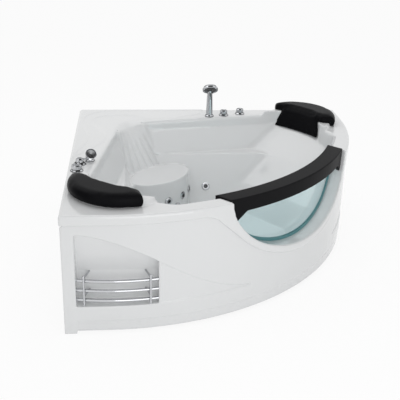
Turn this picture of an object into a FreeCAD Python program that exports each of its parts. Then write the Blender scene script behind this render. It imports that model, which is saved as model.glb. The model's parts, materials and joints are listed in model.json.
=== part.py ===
"""Corner bath with water jets: acrylic shell, glass front window, apron, deck fittings, jets, pump and steel frame.

Millimetres, +Z up. The origin is on the floor at the middle of the 1500 x 1500 footprint. The two room
walls are at -X and +Y, so the back corner is at (-X, +Y) and the curved front faces the +X, -Y corner.
Shapes that are symmetric about the diagonal are drawn in a "front frame": its origin is the centre of the
front arc, its X axis runs along the diagonal to the front and its Y axis to the right-hand end.
"""
import FreeCAD
import Part
import math
import os
import Sketcher
from FreeCAD import Placement, Rotation, Vector

SIZES = [
    ("WallSide", 1500, "length of the bath along each wall"),
    ("RimHeight", 560, "floor to the top of the deck"),
    ("EndLength", 200, "straight piece at each end of the front arc"),
    ("ShellWall", 8, "acrylic with its glass-fibre backing"),
    ("LipHeight", 47, "turned-down edge round the deck"),
    ("LipRound", 10, "rounding along the top of the lip"),
    ("RimRound", 14, "rounding of the basin's upper edge"),
    ("EndRim", 165, "deck width between basin and the outside at each end"),
    ("FrontRim", 85, "deck width between basin and the outside at the front"),
    ("SideRim", 51, "how far the basin's side stays from the front frame's origin"),
    ("LedgeHeight", 380, "side ledges above the floor"),
    ("LedgeDrop", 55, "how far the side walls lean in down to the ledges"),
    ("LedgeWidth", 260, "seat ledge in front of each backrest"),
    ("ShinDrop", 140, "ledge down to where the lower walls steepen"),
    ("SeatHeight", 332, "top of the corner seat"),
    ("SeatPad", 8, "raised oval on the seat"),
    ("SeatFront", 274, "radius of the oval's front and back"),
    ("SeatEnd", 80, "radius of the oval's ends"),
    ("SeatHalf", 120, "half the oval's depth"),
    ("SeatPlace", 356, "oval's centre from the front arc's centre"),
    ("FloorHeight", 110, "inside of the basin's floor"),
    ("DrainPlace", 640, "drain from the front arc's centre"),
    ("CascadeRibs", 7, "ribs fanning down the back corner"),
    ("CascadeBulge", 8, "how far each rib stands out"),
    ("RibTop", 17, "rib radius at the deck"),
    ("RibFoot", 34, "rib radius at the seat"),
    ("RidgeHeight", 20, "raised shelf under each pillow"),
    ("WaveStep", 3, "height of each of the two wavy steps on the deck"),
    ("WaveEdge", 20, "how far those steps stay from the basin's edge"),
    ("WindowBottom", 257, "lowest point of the window opening"),
    ("WindowLining", 12, "thickness of the window's surround"),
    ("LipBottom", 218, "lowest point of the lip under the window"),
    ("GlassThickness", 8, "curved window pane"),
    ("GlassInset", 80, "inside face of the pane behind the front"),
    ("SealWidth", 6, "rubber between pane and opening"),
    ("RailInset", 20, "handrail's outer face behind the front"),
    ("RailWidth", 82, "handrail from its outer to its inner face"),
    ("RailSkirt", 20, "thickness of the handrail's outer face"),
    ("RailPlate", 26, "deck down to the underside of the handrail's flat top"),
    ("RailTop", 6, "handrail above the deck"),
    ("RailDepth", 60, "height of the handrail's outer face"),
    ("PanelThickness", 6, "apron panel"),
    ("PanelGap", 0.5, "play between lip and apron"),
    ("PanelOverlap", 20, "apron hidden behind the lip"),
    ("PanelLift", 14, "gap under the apron"),
    ("PostWidth", 58, "foot at each end of the apron"),
    ("SwooshDepth", 5, "how deep the swoosh is pressed in"),
    ("RecessRight", 408, "towel recess's right edge from the wall plane"),
    ("RecessBottom", 127, "towel recess above the floor"),
    ("RecessDepth", 70, "towel recess behind the apron's face"),
    ("BarRadius", 7, "towel bars"),
    ("BarPitch", 46, "height between towel bars"),
    ("PillowHeight", 42, "cushion over the raised shelf"),
    ("PillowLeg", 60, "how far the pillow hangs below the deck, inside the basin"),
    ("SoftGap", 0.3, "room between a pillow and what carries it"),
    ("KnobRadius", 20.5, "deck knobs"),
    ("KnobBase", 26, "rosette under each deck knob"),
    ("KnobHeight", 30, "deck knob above the deck"),
    ("ShankRadius", 11, "threaded shank through the deck"),
    ("HoleGap", 1, "play of a shank in its hole"),
    ("TurnGap", 0.05, "running clearance of turning parts"),
    ("HandleRadius", 18, "hand shower handle"),
    ("HeadRadius", 43, "hand shower head"),
    ("ShowerHeight", 199, "hand shower above the deck"),
    ("JetRadius", 15, "jet housing through the wall"),
    ("JetFlange", 22, "jet face on the wall"),
    ("JetHeight", 222, "jets above the floor"),
    ("SideJetPlace", 712, "side jets from the room walls' corner"),
    ("SuctionDrop", 64, "suction below the jets"),
    ("OverflowDrop", 90, "overflow below the deck"),
    ("NozzleRadius", 10, "turning nozzle"),
    ("DrainRadius", 35, "drain flange"),
    ("WastePipe", 20, "waste pipe"),
    ("TubeSide", 30, "frame tube"),
    ("TubeWall", 2, "wall of a frame tube"),
    ("FrameBottom", "=FloorHeight - ShellWall - TubeSide", "underside of the frame that carries the shell"),
    ("ChordPlace", 762, "cross tube from the front arc's centre"),
    ("RibPlace", 180, "ribs and outriggers from the diagonal"),
    ("UprightSide", 25, "upright tube"),
    ("FootRadius", 25, "foot pad"),
    ("PumpRadius", 75, "pump's wet end"),
    ("MotorRadius", 65, "pump motor"),
    ("SuctionPipe", 25, "suction pipe"),
    ("PressurePipe", 12.5, "jet manifold pipe"),
]


class Size(float):
    """A length that remembers the spreadsheet formula it comes from."""

    def __new__(cls, value, formula):
        size = super().__new__(cls, value)
        size.formula = formula
        return size

    def __add__(self, other):
        return Size(float(self) + float(other), "(%s + %s)" % (self.formula, text(other)))

    def __sub__(self, other):
        return Size(float(self) - float(other), "(%s - %s)" % (self.formula, text(other)))

    def __mul__(self, other):
        return Size(float(self) * float(other), "(%s * %s)" % (self.formula, text(other)))

    def __truediv__(self, other):
        return Size(float(self) / float(other), "(%s / %s)" % (self.formula, text(other)))

    def __radd__(self, other):
        return Size(float(other) + float(self), "(%s + %s)" % (text(other), self.formula))

    def __rsub__(self, other):
        return Size(float(other) - float(self), "(%s - %s)" % (text(other), self.formula))

    def __neg__(self):
        return Size(-float(self), "(-1 * %s)" % self.formula)


def text(value):
    """The formula of a size, or a plain number as text."""
    return value.formula if isinstance(value, Size) else repr(float(value))


doc = FreeCAD.newDocument("CornerBath")
sheet = doc.addObject("Spreadsheet::Sheet", "Sizes")
for row, (alias, value, note) in enumerate(SIZES, start=1):
    sheet.set("A%d" % row, note)
    sheet.set("B%d" % row, str(value))
    sheet.setAlias("B%d" % row, alias)
doc.recompute()
size = {alias: Size(sheet.get(alias), "Sizes." + alias) for alias, _, _ in SIZES}

UP = Vector(0, 0, 1)
HALF = size["WallSide"] / 2
RIM = size["RimHeight"]
WALL = size["ShellWall"]
ARC_X = size["EndLength"] - HALF
ARC_Y = HALF - size["EndLength"]
FRONT_RADIUS = size["WallSide"] - size["EndLength"]
FRONT = Placement(Vector(ARC_X, ARC_Y, 0), Rotation(UP, -45))
GLASS_INNER = FRONT_RADIUS - size["GlassInset"]
GLASS_OUTER = GLASS_INNER + size["GlassThickness"]
SKY = RIM + 80
SEAT_FRONT_CENTRE = size["SeatPlace"] + size["SeatHalf"] - size["SeatFront"]
SEAT_SPAN = size["SeatFront"] - size["SeatEnd"]
SEAT_END_OFF = math.sqrt(SEAT_SPAN ** 2 - (size["SeatFront"] - size["SeatHalf"]) ** 2)
parts = []


def keep(obj, label):
    """Name a finished piece, so that it is written out."""
    obj.Label = label
    parts.append(obj)
    return obj


def feature(label, shape):
    """A piece whose form is made by direct shape functions."""
    obj = doc.addObject("Part::Feature", label)
    solids = shape.Solids
    obj.Shape = solids[0] if len(solids) == 1 else Part.makeCompound(solids)
    return keep(obj, label)


def front(shape):
    """Move a shape drawn in the front frame to the bath's own frame."""
    moved = shape.copy()
    moved.Placement = FRONT.multiply(moved.Placement)
    return moved


def front_point(radius, angle, z):
    """A point at a radius and an angle from the diagonal, in the bath's frame."""
    turn = math.radians(angle)
    return FRONT.multVec(Vector(radius * math.cos(turn), radius * math.sin(turn), z))


def wall_point(along, off, z):
    """A point measured from the back corner: along the +Y wall and off it."""
    return Vector(along - HALF, HALF - off, z)


# ---------------------------------------------------------------- plan outlines


def outline(grow, bottom, top):
    """The footprint as a solid: two wall sides, two straight ends and the front arc, moved out by grow."""
    reach = HALF + grow
    radius = FRONT_RADIUS + grow
    middle = Vector(ARC_X + radius * math.cos(math.pi / 4), ARC_Y - radius * math.sin(math.pi / 4), bottom)
    corner = [Vector(-reach, -reach, bottom), Vector(ARC_X, -reach, bottom)]
    corner += [Vector(reach, ARC_Y, bottom), Vector(reach, reach, bottom), Vector(-reach, reach, bottom)]
    edges = [Part.makeLine(corner[0], corner[1]), Part.Arc(corner[1], middle, corner[2]).toShape()]
    edges += [Part.makeLine(corner[i], corner[(i + 1) % 5]) for i in (2, 3, 4)]
    return Part.Face(Part.Wire(edges)).extrude(Vector(0, 0, top - bottom))


def apron_strip(gap, thickness, top):
    """The apron's band from the floor up: an end, the front arc and the other end, gap inside the footprint."""
    band = outline(-gap, 0, top).cut(outline(-gap - thickness, -1, top + 1))
    inner = HALF - gap - thickness
    back = Part.makeBox(4 * HALF, 2 * HALF, top + 4, Vector(-HALF - inner, inner, -2))
    left = Part.makeBox(2 * HALF, 4 * HALF, top + 4, Vector(-inner - 2 * HALF, -HALF - inner, -2))
    return band.cut(back.fuse(left))


def rounded_ring(lines, z, grow):
    """A closed wire from straight lines with rounded corners, moved outwards by grow.

    Each line is (angle of its outward normal, distance from the origin, radius of the corner after it,
    factor by which a sloping wall needs more offset). Lines run anticlockwise.
    """
    count = len(lines)
    turned = []
    for angle, distance, _, steep in lines:
        turn = math.radians(angle)
        turned.append((math.cos(turn), math.sin(turn), distance + grow * steep))
    edges = []
    ends = []
    for i in range(count):
        (ax, ay, ad), (bx, by, bd) = turned[i], turned[(i + 1) % count]
        cross = ax * by - ay * bx
        corner = Vector((ad * by - bd * ay) / cross, (ax * bd - bx * ad) / cross, z)
        radius = lines[i][2] + (grow if cross > 0 else -grow)
        half_turn = math.atan2(abs(cross), ax * bx + ay * by) / 2
        back = radius * math.tan(half_turn)
        start = corner - Vector(-ay, ax, 0) * back
        end = corner + Vector(-by, bx, 0) * back
        inward = (start + end) * 0.5 - corner
        middle = corner + inward.normalize() * (radius / math.cos(half_turn) - radius)
        ends.append((start, end))
        edges.append(Part.Arc(start, middle, end).toShape())
    wires = []
    for i in range(count):
        wires.append(edges[i])
        wires.append(Part.makeLine(ends[i][1], ends[(i + 1) % count][0]))
    return Part.Wire(wires)


def mirrored(half, front_radius):
    """The whole loop from its right half, listed from the front to the back."""
    left = []
    radii = [front_radius] + [line[2] for line in half]
    for i, (angle, distance, _, steep) in reversed(list(enumerate(half))):
        left.append((-angle, distance, radii[i], steep))
    return list(half) + left


def stack(levels, grow):
    """A ruled loft through rings at rising heights; each level is (height, right half of the ring)."""
    wires = [rounded_ring(mirrored(half, half[0][1]), z, grow) for z, half in levels]
    return Part.makeLoft(wires, True, True)


# ---------------------------------------------------------------- the basin

SIDE_SPLAY = 144.5
LOWER_SPLAY = 135
BACKREST = 83.5
FLARE = 67.4
FLARE_SHIFT = 146.3
END = 45
BACK_ROUND = 90
BACKREST_TOP = 400
SHIN_INSET = 170
SOLE_INSET = 90
FRONT_INSETS = (40, 105, 230)
SIDE_INSETS = (11, 84, 154)
LIMIT_DRAFT = 20


def rim_ring(shrink):
    """Right half of the basin's edge: front arc, flare beside the pillow, end and side."""
    radius = FRONT_RADIUS - size["FrontRim"] - shrink
    end = FRONT_RADIUS - size["EndRim"] - shrink
    flare = end - FLARE_SHIFT
    side = -size["SideRim"] - shrink
    return [(27, radius, 100, 1), (FLARE, flare, 120, 1), (END, end, 200, 1), (SIDE_SPLAY, side, BACK_ROUND, 1)]


def bowl_ring(angle, radius, backrest, side_angle, side, corner, steep):
    """Right half of the bowl at one height: front arc, leaning backrest and side."""
    return [(angle, radius, corner, 1), (BACKREST, backrest, 120, steep), (side_angle, side, 60, 1)]


def cavity(grow):
    """The space inside the basin, moved out by grow to give the shell's outer face."""
    ledge = size["LedgeHeight"]
    floor = size["FloorHeight"]
    side = -size["SideRim"]
    top = FRONT_RADIUS - BACKREST_TOP
    fronts = [FRONT_RADIUS - inset for inset in FRONT_INSETS]
    sides = [side - inset for inset in SIDE_INSETS]
    backs = [top - size["LedgeWidth"], top - size["LedgeWidth"] - SHIN_INSET]
    backs.append(backs[1] - SOLE_INSET)
    wide = bowl_ring(27, FRONT_RADIUS, top, SIDE_SPLAY, side + LIMIT_DRAFT, 150, 1.6)
    waist = bowl_ring(20, fronts[0], backs[0], SIDE_SPLAY, side - size["LedgeDrop"], 100, 1.6)
    knee = bowl_ring(20, fronts[0], backs[0], LOWER_SPLAY, sides[0], 100, 1.5)
    shin = bowl_ring(12, fronts[1], backs[1], LOWER_SPLAY, sides[1], 100, 1.3)
    sole = bowl_ring(8, fronts[2], backs[2], LOWER_SPLAY, sides[2], 80, 1)
    upper = stack([(ledge - grow, waist), (RIM, wide)], grow)
    upper = upper.fuse(stack([(RIM, wide), (SKY, wide)], grow))
    lower = stack([(floor - grow, sole), (ledge - size["ShinDrop"], shin), (ledge, knee)], grow)
    draft = rim_ring(LIMIT_DRAFT)
    limit = stack([(floor - LIMIT_DRAFT, draft), (RIM, rim_ring(0)), (SKY, rim_ring(0))], grow)
    space = upper.fuse(lower).common(limit)
    return space.cut(seat(grow)).cut(cascade(grow))


def oval(shrink, top):
    """The seat's raised oval: a broad arc front and back and a tight arc at each end."""
    broad = size["SeatFront"] - shrink
    tight = size["SeatEnd"] - shrink
    reach = SEAT_FRONT_CENTRE - size["SeatPlace"]
    side = SEAT_END_OFF
    turn = math.atan2(side, -reach)
    centre = size["SeatPlace"]
    tip = Vector(centre, side + tight, 0)
    joint = Vector(centre + reach + broad * math.cos(turn), broad * math.sin(turn), 0)
    back = Vector(2 * centre - joint.x, joint.y, 0)
    nose = Vector(centre + reach + broad, 0, 0)
    rear = Vector(2 * centre - nose.x, 0, 0)
    across_joint, across_tip, across_back = (Vector(p.x, -p.y, 0) for p in (joint, tip, back))
    arcs = [(across_joint, nose, joint), (joint, tip, back)]
    arcs += [(back, rear, across_back), (across_back, across_tip, across_joint)]
    wire = Part.Wire([Part.Arc(*three).toShape() for three in arcs])
    return Part.Face(wire).extrude(Vector(0, 0, top))


def seat(shrink):
    """Corner seat: a platform from the back wall with a raised oval, filling the bowl up to seat height."""
    top = size["SeatHeight"] - size["SeatPad"] - shrink
    platform = Part.makeBox(size["SeatPlace"] + 300 - shrink, 660, top, Vector(-300, -330, 0))
    return platform.fuse(oval(shrink, size["SeatHeight"] - shrink))


RIB_TOP_PLACE, SIDE_RIB_TOP, RIB_TOP_HALF = 84, 136, 104
RIB_FOOT_PLACE, SIDE_RIB_FOOT, RIB_FOOT_HALF = 262, 232, 175


def cascade(grow):
    """The back corner's slope: round ribs fanning out from the deck down to the seat, and a block behind."""
    count = int(size["CascadeRibs"])
    top_radius = size["RibTop"]
    foot_radius = size["RibFoot"]
    bulge = size["CascadeBulge"]
    ribs = []
    tops = []
    feet = []
    for i in range(count):
        share = (2 * i + 1) / count - 1
        bend = abs(share) ** 1.6
        out = bulge - top_radius + RIB_TOP_PLACE + (SIDE_RIB_TOP - RIB_TOP_PLACE) * bend
        top = Vector(out, RIB_TOP_HALF * share, RIM + 1)
        out = bulge - foot_radius + RIB_FOOT_PLACE + (SIDE_RIB_FOOT - RIB_FOOT_PLACE) * bend
        foot = Vector(out, RIB_FOOT_HALF * share, size["SeatHeight"] - 32)
        ribs.append(Part.makeCone(foot_radius - grow, top_radius - grow, (top - foot).Length, foot, top - foot))
        tops.append(top)
        feet.append(foot)
    wires = []
    for row in (feet, tops):
        last, first = row[-1], row[0]
        behind = [Vector(-300, last.y, last.z), Vector(-300, first.y, first.z)]
        wires.append(Part.makePolygon(row + behind + [first]))
    return Part.makeLoft(wires, True, True).fuse(ribs)


def rim_round():
    """What the rounding of the basin's edge takes from the deck."""
    radius = size["RimRound"]
    wires = []
    for step in range(4):
        turn = math.radians(30 * step)
        grow = radius * (1 - math.cos(turn))
        wires.append(rounded_ring(mirrored(rim_ring(0), FRONT_RADIUS - size["FrontRim"]),
                                  RIM - radius + radius * math.sin(turn), grow))
    return Part.makeLoft(wires, True, True)


# ---------------------------------------------------------------- the window and the lip

WINDOW_ARCS = [(651, 23.7), (384, 33.3), (199, 32)]
LIP_ARCS = [(668, 21.5), (485, 23.5)]
LIP_BLEND = 100


def front_view(bottom, arcs, top, grow, flat=None):
    """A symmetric face seen from the front: tangent arcs rising from the lowest point to the top."""
    here = Vector(0, 0, bottom - grow)
    heading = 0.0
    edges = []

    def bend(radius, turn):
        nonlocal here, heading
        centre = here + Vector(0, -math.sin(heading), math.cos(heading)) * radius
        points = []
        for share in (0.5, 1):
            angle = heading + math.radians(turn) * share
            points.append(centre + Vector(0, math.sin(angle), -math.cos(angle)) * radius)
        edges.append(Part.Arc(here, points[0], points[1]).toShape())
        here = points[1]
        heading += math.radians(turn)

    def run(end):
        nonlocal here
        edges.append(Part.makeLine(here, end))
        here = end

    for radius, turn in arcs:
        bend(radius + grow, turn)
    if flat is None:
        run(Vector(0, here.y + (top - here.z) / math.tan(heading), top))
    else:
        turn = heading
        drop = (LIP_BLEND - grow) * (1 - math.cos(turn))
        rise = flat - grow - drop - here.z
        run(here + Vector(0, rise / math.tan(turn), rise))
        bend(-(LIP_BLEND - grow), -math.degrees(turn))
        run(Vector(0, 2 * HALF, here.z))
        run(Vector(0, 2 * HALF, top))
    side = Part.Compound(edges)
    other = side.mirror(Vector(), Vector(0, 1, 0))
    tops = [Vector(0, here.y, top), Vector(0, -here.y, top)]
    loose = side.Edges + other.Edges + [Part.makeLine(tops[0], tops[1])]
    return Part.Face(Part.Wire(Part.__sortEdges__(loose)))


def window_prism(grow, start=FRONT_RADIUS - 300, end=FRONT_RADIUS + 50):
    """The window opening as a solid along the diagonal, from one distance to another."""
    face = front_view(size["WindowBottom"], WINDOW_ARCS, SKY, grow)
    face.translate(Vector(start, 0, 0))
    return front(face.extrude(Vector(end - start, 0, 0)))


def lip_prism(grow):
    """Everything above the lip's lower edge, which dips under the window; grow lowers that edge."""
    flat = RIM - size["LipHeight"]
    face = front_view(size["LipBottom"], LIP_ARCS, SKY, grow, flat)
    face.translate(Vector(FRONT_RADIUS / 2, 0, 0))
    dip = front(face.extrude(Vector(FRONT_RADIUS, 0, 0)))
    above = Part.makeBox(4 * HALF, 4 * HALF, SKY - flat + grow, Vector(-2 * HALF, -2 * HALF, flat - grow))
    return above.fuse(dip)


def ring(inner, outer, bottom, top):
    """An upright cylindrical band about the front arc's centre."""
    base = Vector(ARC_X, ARC_Y, bottom)
    return Part.makeCylinder(outer, top - bottom, base).cut(Part.makeCylinder(inner, top - bottom, base))


# ---------------------------------------------------------------- the raised shelves and pillows

SHELF_ALONG = 250
SHELF_OFF = 290
SHELF_RADIUS = 212
PILLOW_RADIUS = 237


def shelf_centre(side, z):
    """Centre of an end's round shelf: side is -1 for the left end and 1 for the right end."""
    along, off = SHELF_ALONG, size["WallSide"] - SHELF_OFF
    return wall_point(along, off, z) if side < 0 else wall_point(off, along, z)


def shelf(side, grow):
    """The crescent between basin and end that carries a pillow."""
    bottom = RIM - 12
    top = RIM + size["RidgeHeight"] + grow
    body = Part.makeCone(SHELF_RADIUS + 6 + grow, SHELF_RADIUS - 10 + grow, top - bottom, shelf_centre(side, bottom))
    hollow = Part.Face(rounded_ring(mirrored(rim_ring(0), FRONT_RADIUS - size["FrontRim"]), bottom - 5, -grow))
    return body.cut(front(hollow.extrude(Vector(0, 0, 80))))


# ---------------------------------------------------------------- wavy steps on the deck

WAVE_INSET = 12
INNER_WAVE = [(16, 814), (60, 735), (115, 655), (160, 540), (150, 420), (96, 300), (82, 220), (122, 142)]
INNER_WAVE += [(200, 116), (291, 115), (364, 175), (440, 190), (516, 184), (610, 140), (694, 90)]
OUTER_WAVE = [(14, 785), (45, 690), (68, 608), (73, 496), (48, 360), (33, 250), (42, 150), (72, 96)]
OUTER_WAVE += [(120, 56), (190, 34), (300, 27), (407, 30), (560, 26), (700, 20)]


def deck_wave(knots, height):
    """A raised area of the deck between the room walls and a smooth line through knots (along, off)."""
    low = RIM - 2
    line = Part.BSplineCurve()
    line.interpolate([wall_point(along, off, low) for along, off in knots])
    walls = [knots[-1], (knots[-1][0] + 20, WAVE_INSET), (WAVE_INSET, WAVE_INSET), (WAVE_INSET, knots[0][1] + 14)]
    rest = Part.makePolygon([wall_point(along, off, low) for along, off in walls + knots[:1]])
    raised = Part.Face(Part.Wire([line.toShape()] + rest.Edges)).extrude(Vector(0, 0, height + 2))
    edge = Part.Face(rounded_ring(mirrored(rim_ring(0), FRONT_RADIUS - size["FrontRim"]), low - 1, size["WaveEdge"]))
    return raised.cut(front(edge.extrude(Vector(0, 0, SKY - low))))


# ---------------------------------------------------------------- holes and fittings: where they go

DECK_FITTINGS = {
    "hand_shower": wall_point(744, 128, RIM),
    "air_control_inner": wall_point(829, 110, RIM),
    "air_control_outer": wall_point(926, 83, RIM),
    "spout": wall_point(98, 850, RIM),
    "diverter": wall_point(54, 897, RIM),
    "mixer": wall_point(45, 983, RIM),
}


def frame_at(point, axis):
    """A placement at a point whose Z axis points along axis."""
    return Placement(point, Rotation(UP, axis))


def oval_spot(turn, z):
    """A jet's place on the seat's front arc: the point on the wall and the direction into the water."""
    angle = math.radians(turn)
    out = Vector(math.cos(angle), math.sin(angle), 0)
    point = Vector(SEAT_FRONT_CENTRE, 0, z) + out * size["SeatFront"]
    return frame_at(FRONT.multVec(point), FRONT.Rotation.multVec(out))


def side_spot(side, along, z):
    """A jet's place on the lower side wall, which leans outwards as it rises."""
    low, high = size["LedgeHeight"] - size["ShinDrop"], size["LedgeHeight"]
    far, near = SIDE_INSETS[:2]
    if z < low:
        low, high = size["FloorHeight"], low
        far, near = SIDE_INSETS[1:]
    near, far = size["SideRim"] + near, size["SideRim"] + far
    off = size["EndLength"] + near + (far - near) * (z - low) / (high - low)
    lean = Vector(0, -(high - low), near - far).normalize()
    if side > 0:
        return frame_at(wall_point(along, off, z), lean)
    return frame_at(wall_point(off, along, z), Vector(-lean.y, 0, lean.z))


JETS = {
    "seat_left_outer": oval_spot(-33.9, size["JetHeight"]),
    "seat_left_inner": oval_spot(-11.9, size["JetHeight"]),
    "seat_right_inner": oval_spot(11.9, size["JetHeight"]),
    "seat_right_outer": oval_spot(33.9, size["JetHeight"]),
    "side_left": side_spot(-1, size["SideJetPlace"], size["JetHeight"] - 7),
    "side_right": side_spot(1, size["SideJetPlace"], size["JetHeight"] - 7),
}
SUCTION = oval_spot(0, size["JetHeight"] - size["SuctionDrop"])
DRAIN = Placement(front_point(size["DrainPlace"], 0, size["FloorHeight"]), Rotation())
OVERFLOW_ANGLE = -25
OVERFLOW_HEIGHT = RIM - size["OverflowDrop"]


def overflow_spot():
    """The overflow's place on the front wall beside the window, facing the water."""
    shrink = LIMIT_DRAFT * size["OverflowDrop"] / (RIM - size["FloorHeight"] + LIMIT_DRAFT)
    radius = FRONT_RADIUS - size["FrontRim"] - shrink
    turn = math.radians(OVERFLOW_ANGLE)
    inward = Vector(-math.cos(turn), -math.sin(turn), 0)
    return frame_at(front_point(radius, OVERFLOW_ANGLE, OVERFLOW_HEIGHT), FRONT.Rotation.multVec(inward))


OVERFLOW = overflow_spot()


def bar(place, radius, start, end):
    """A round bar along a placement's Z axis, from start to end."""
    cylinder = Part.makeCylinder(radius, end - start, Vector(0, 0, start))
    cylinder.Placement = place
    return cylinder


# ---------------------------------------------------------------- tub shell


def tub_shell():
    """Deck, lip, basin, raised shelves and window surround in one moulding."""
    lip_bottom = size["LipBottom"] - 10
    body = outline(0, lip_bottom, RIM)
    crown = [e for e in body.Edges if abs(e.BoundBox.ZMin - RIM) < 0.01 and abs(e.BoundBox.ZMax - RIM) < 0.01]
    body = body.makeFillet(size["LipRound"], crown)
    skin = body.cut(outline(-WALL, lip_bottom - 1, RIM - WALL)).common(lip_prism(0))
    water = front(cavity(0))
    dry = front(cavity(WALL)).common(outline(0, 0, RIM - WALL / 2))
    lining = window_prism(size["WindowLining"], FRONT_RADIUS - 400)
    lining = lining.common(outline(0, 0, RIM - WALL / 2)).common(lip_prism(0))
    waves = [deck_wave(INNER_WAVE, size["WaveStep"]), deck_wave(OUTER_WAVE, size["WaveStep"] * 2)]
    shell = skin.fuse([dry, lining, shelf(-1, 0), shelf(1, 0)] + waves)
    shell = shell.cut(water).cut(front(rim_round()).cut(shelf(-1, 0)).cut(shelf(1, 0)))
    shell = shell.cut(window_prism(0, FRONT_RADIUS - 450))
    holes = [bar(place, size["JetRadius"] + size["HoleGap"], -60, 30) for place in JETS.values()]
    for place, shank in ((SUCTION, 24), (DRAIN, 24), (OVERFLOW, 20)):
        holes.append(bar(place, shank + size["HoleGap"], -30, 30))
    holes.append(bar(OVERFLOW, 36 + size["HoleGap"], 0, 30))
    for name, point in DECK_FITTINGS.items():
        holes.append(Part.makeCylinder(size["ShankRadius"] + size["HoleGap"], 60, point - UP * 30))
    return shell.cut(Part.makeCompound(holes))


feature("tub_shell", tub_shell())

# ---------------------------------------------------------------- window and handrail


PANE_DROP = 15
SEAL_LIP = 4
SEAL_COVER = 8
SEAL_PLAY = 0.05
GROOVE_PLAY = 0.3
FOOT_DROP = 103
FOOT_NARROW = 376
FOOT_WIDE = 428


def window_glass():
    """Curved pane, cut to the opening less the seal, its top edge inside the handrail."""
    pane = ring(GLASS_INNER, GLASS_OUTER, 0, RIM - PANE_DROP)
    return pane.common(window_prism(-size["SealWidth"]))


def window_seal():
    """Channel of rubber round the pane's edge, filling the opening's groove."""
    channel = ring(GLASS_INNER - SEAL_LIP, GLASS_OUTER + SEAL_LIP, 0, RIM - size["RailDepth"] - SEAL_LIP)
    channel = channel.common(window_prism(-SEAL_PLAY)).cut(window_prism(-size["SealWidth"] - SEAL_COVER))
    slot = ring(GLASS_INNER - SEAL_PLAY, GLASS_OUTER + SEAL_PLAY, 0, RIM - PANE_DROP)
    return channel.cut(slot.common(window_prism(-size["SealWidth"] + SEAL_PLAY)))


def handrail():
    """Black bar over the window: a flat top, a deep outer face with a foot at each end, grooved for the pane."""
    top = RIM + size["RailTop"]
    low = RIM - size["RailDepth"]
    foot = RIM - FOOT_DROP
    outer = FRONT_RADIUS - size["RailInset"]
    inner = outer - size["RailWidth"]
    body = ring(inner, outer, size["WindowBottom"], top).common(window_prism(-GROOVE_PLAY))
    half = [(FOOT_NARROW, low), (FOOT_WIDE, foot), (HALF, foot), (HALF, 0)]
    under = [Vector(0, -y, z) for y, z in reversed(half)] + [Vector(0, y, z) for y, z in half]
    below = Part.Face(Part.makePolygon(under + under[:1])).extrude(Vector(2 * HALF, 0, 0))
    body = body.cut(front(below))
    body = body.cut(ring(inner - 1, outer - size["RailSkirt"], size["WindowBottom"], RIM - size["RailPlate"]))
    groove = ring(GLASS_INNER - GROOVE_PLAY, GLASS_OUTER + GROOVE_PLAY, 0, RIM - PANE_DROP + GROOVE_PLAY)
    return body.cut(groove)


feature("window_glass", window_glass())
feature("window_seal", window_seal())
feature("handrail", handrail())

# ---------------------------------------------------------------- apron

SWOOSH_LEFT = -HALF + size["PostWidth"]
SWOOSH_KNOTS = [(58, 472), (207, 436), (404, 339), (587, 228), (864, 135)]


def swoosh_prism(grow, side):
    """The pressed-in swoosh of the left end as a solid along Y; side 1 mirrors it to the right end."""
    floor = size["RecessBottom"] + 6 - grow
    front_line = -2 * HALF
    knots = [Vector(along - HALF, front_line, z + grow) for along, z in SWOOSH_KNOTS]
    knots[0].z += grow
    curve = Part.BSplineCurve()
    curve.interpolate(knots)
    first, last = curve.value(curve.FirstParameter), curve.value(curve.LastParameter)
    left = SWOOSH_LEFT - grow
    around = [last, Vector(last.x, front_line, floor), Vector(left, front_line, floor)]
    if grow:
        around.append(Vector(left, front_line, first.z))
    border = Part.makePolygon(around + [first])
    solid = Part.Face(Part.Wire([curve.toShape()] + border.Edges)).extrude(Vector(0, 2 * HALF, 0))
    return solid if side < 0 else across(solid)


def across(shape):
    """A shape mirrored over the diagonal: what is on the left end moves to the right end."""
    return shape.mirror(Vector(), Vector(1, 1, 0))


TRAY_SHOULDER = 275
TRAY_BACK = 12


def recess_tray(grow):
    """The towel recess: deep behind the bars, its back sloping out to the face at the top."""
    face = -HALF + WALL + size["PanelGap"]
    depth = size["RecessDepth"]
    bottom = size["RecessBottom"] - grow
    top = SWOOSH_KNOTS[0][1] + 8
    points = [(face - 40, bottom), (face + depth + grow, bottom), (face + depth + grow, TRAY_SHOULDER)]
    points += [(face + TRAY_BACK + grow, top), (face - 40, top)]
    left = SWOOSH_LEFT - grow
    right = size["RecessRight"] - HALF + grow
    side = Part.makePolygon([Vector(left, y, z) for y, z in points + points[:1]])
    return Part.Face(side).extrude(Vector(right - left, 0, 0))


def front_apron():
    """Curved panel with feet at its ends, the swoosh on both ends and the towel recess on the left."""
    gap = WALL + size["PanelGap"]
    thick = size["PanelThickness"]
    top = RIM - size["LipHeight"] + size["PanelOverlap"]
    skin = apron_strip(gap, thick, top).cut(lip_prism(-size["PanelOverlap"]))
    backing = apron_strip(gap + size["SwooshDepth"], thick, top)
    post = size["PostWidth"]
    lift = Part.makeBox(2 * HALF, 2 * HALF, size["PanelLift"], Vector(post - HALF, -HALF - post, 0))
    lift = lift.common(Part.makeBox(4 * HALF, 4 * HALF, 100, Vector(-2 * HALF, HALF - post - 4 * HALF, 0)))
    skin = skin.cut(lift)
    left, left_wide = swoosh_prism(0, -1), swoosh_prism(thick, -1)
    right, right_wide = swoosh_prism(0, 1), swoosh_prism(thick, 1)
    panel = skin.cut(left.fuse(right))
    panel = panel.fuse([backing.common(left_wide), backing.common(right_wide)])
    tray = recess_tray(thick).common(left_wide).common(outline(-gap, 0, top))
    return panel.fuse(tray).cut(recess_tray(0).common(left))


feature("front_apron", front_apron())

# ---------------------------------------------------------------- pillows

PILLOW_BACK = (44, 358)
PILLOW_FRONT = (352, 77)
PILLOW_INNER = [(66, 366), (205, 241), (338, 150)]


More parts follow.
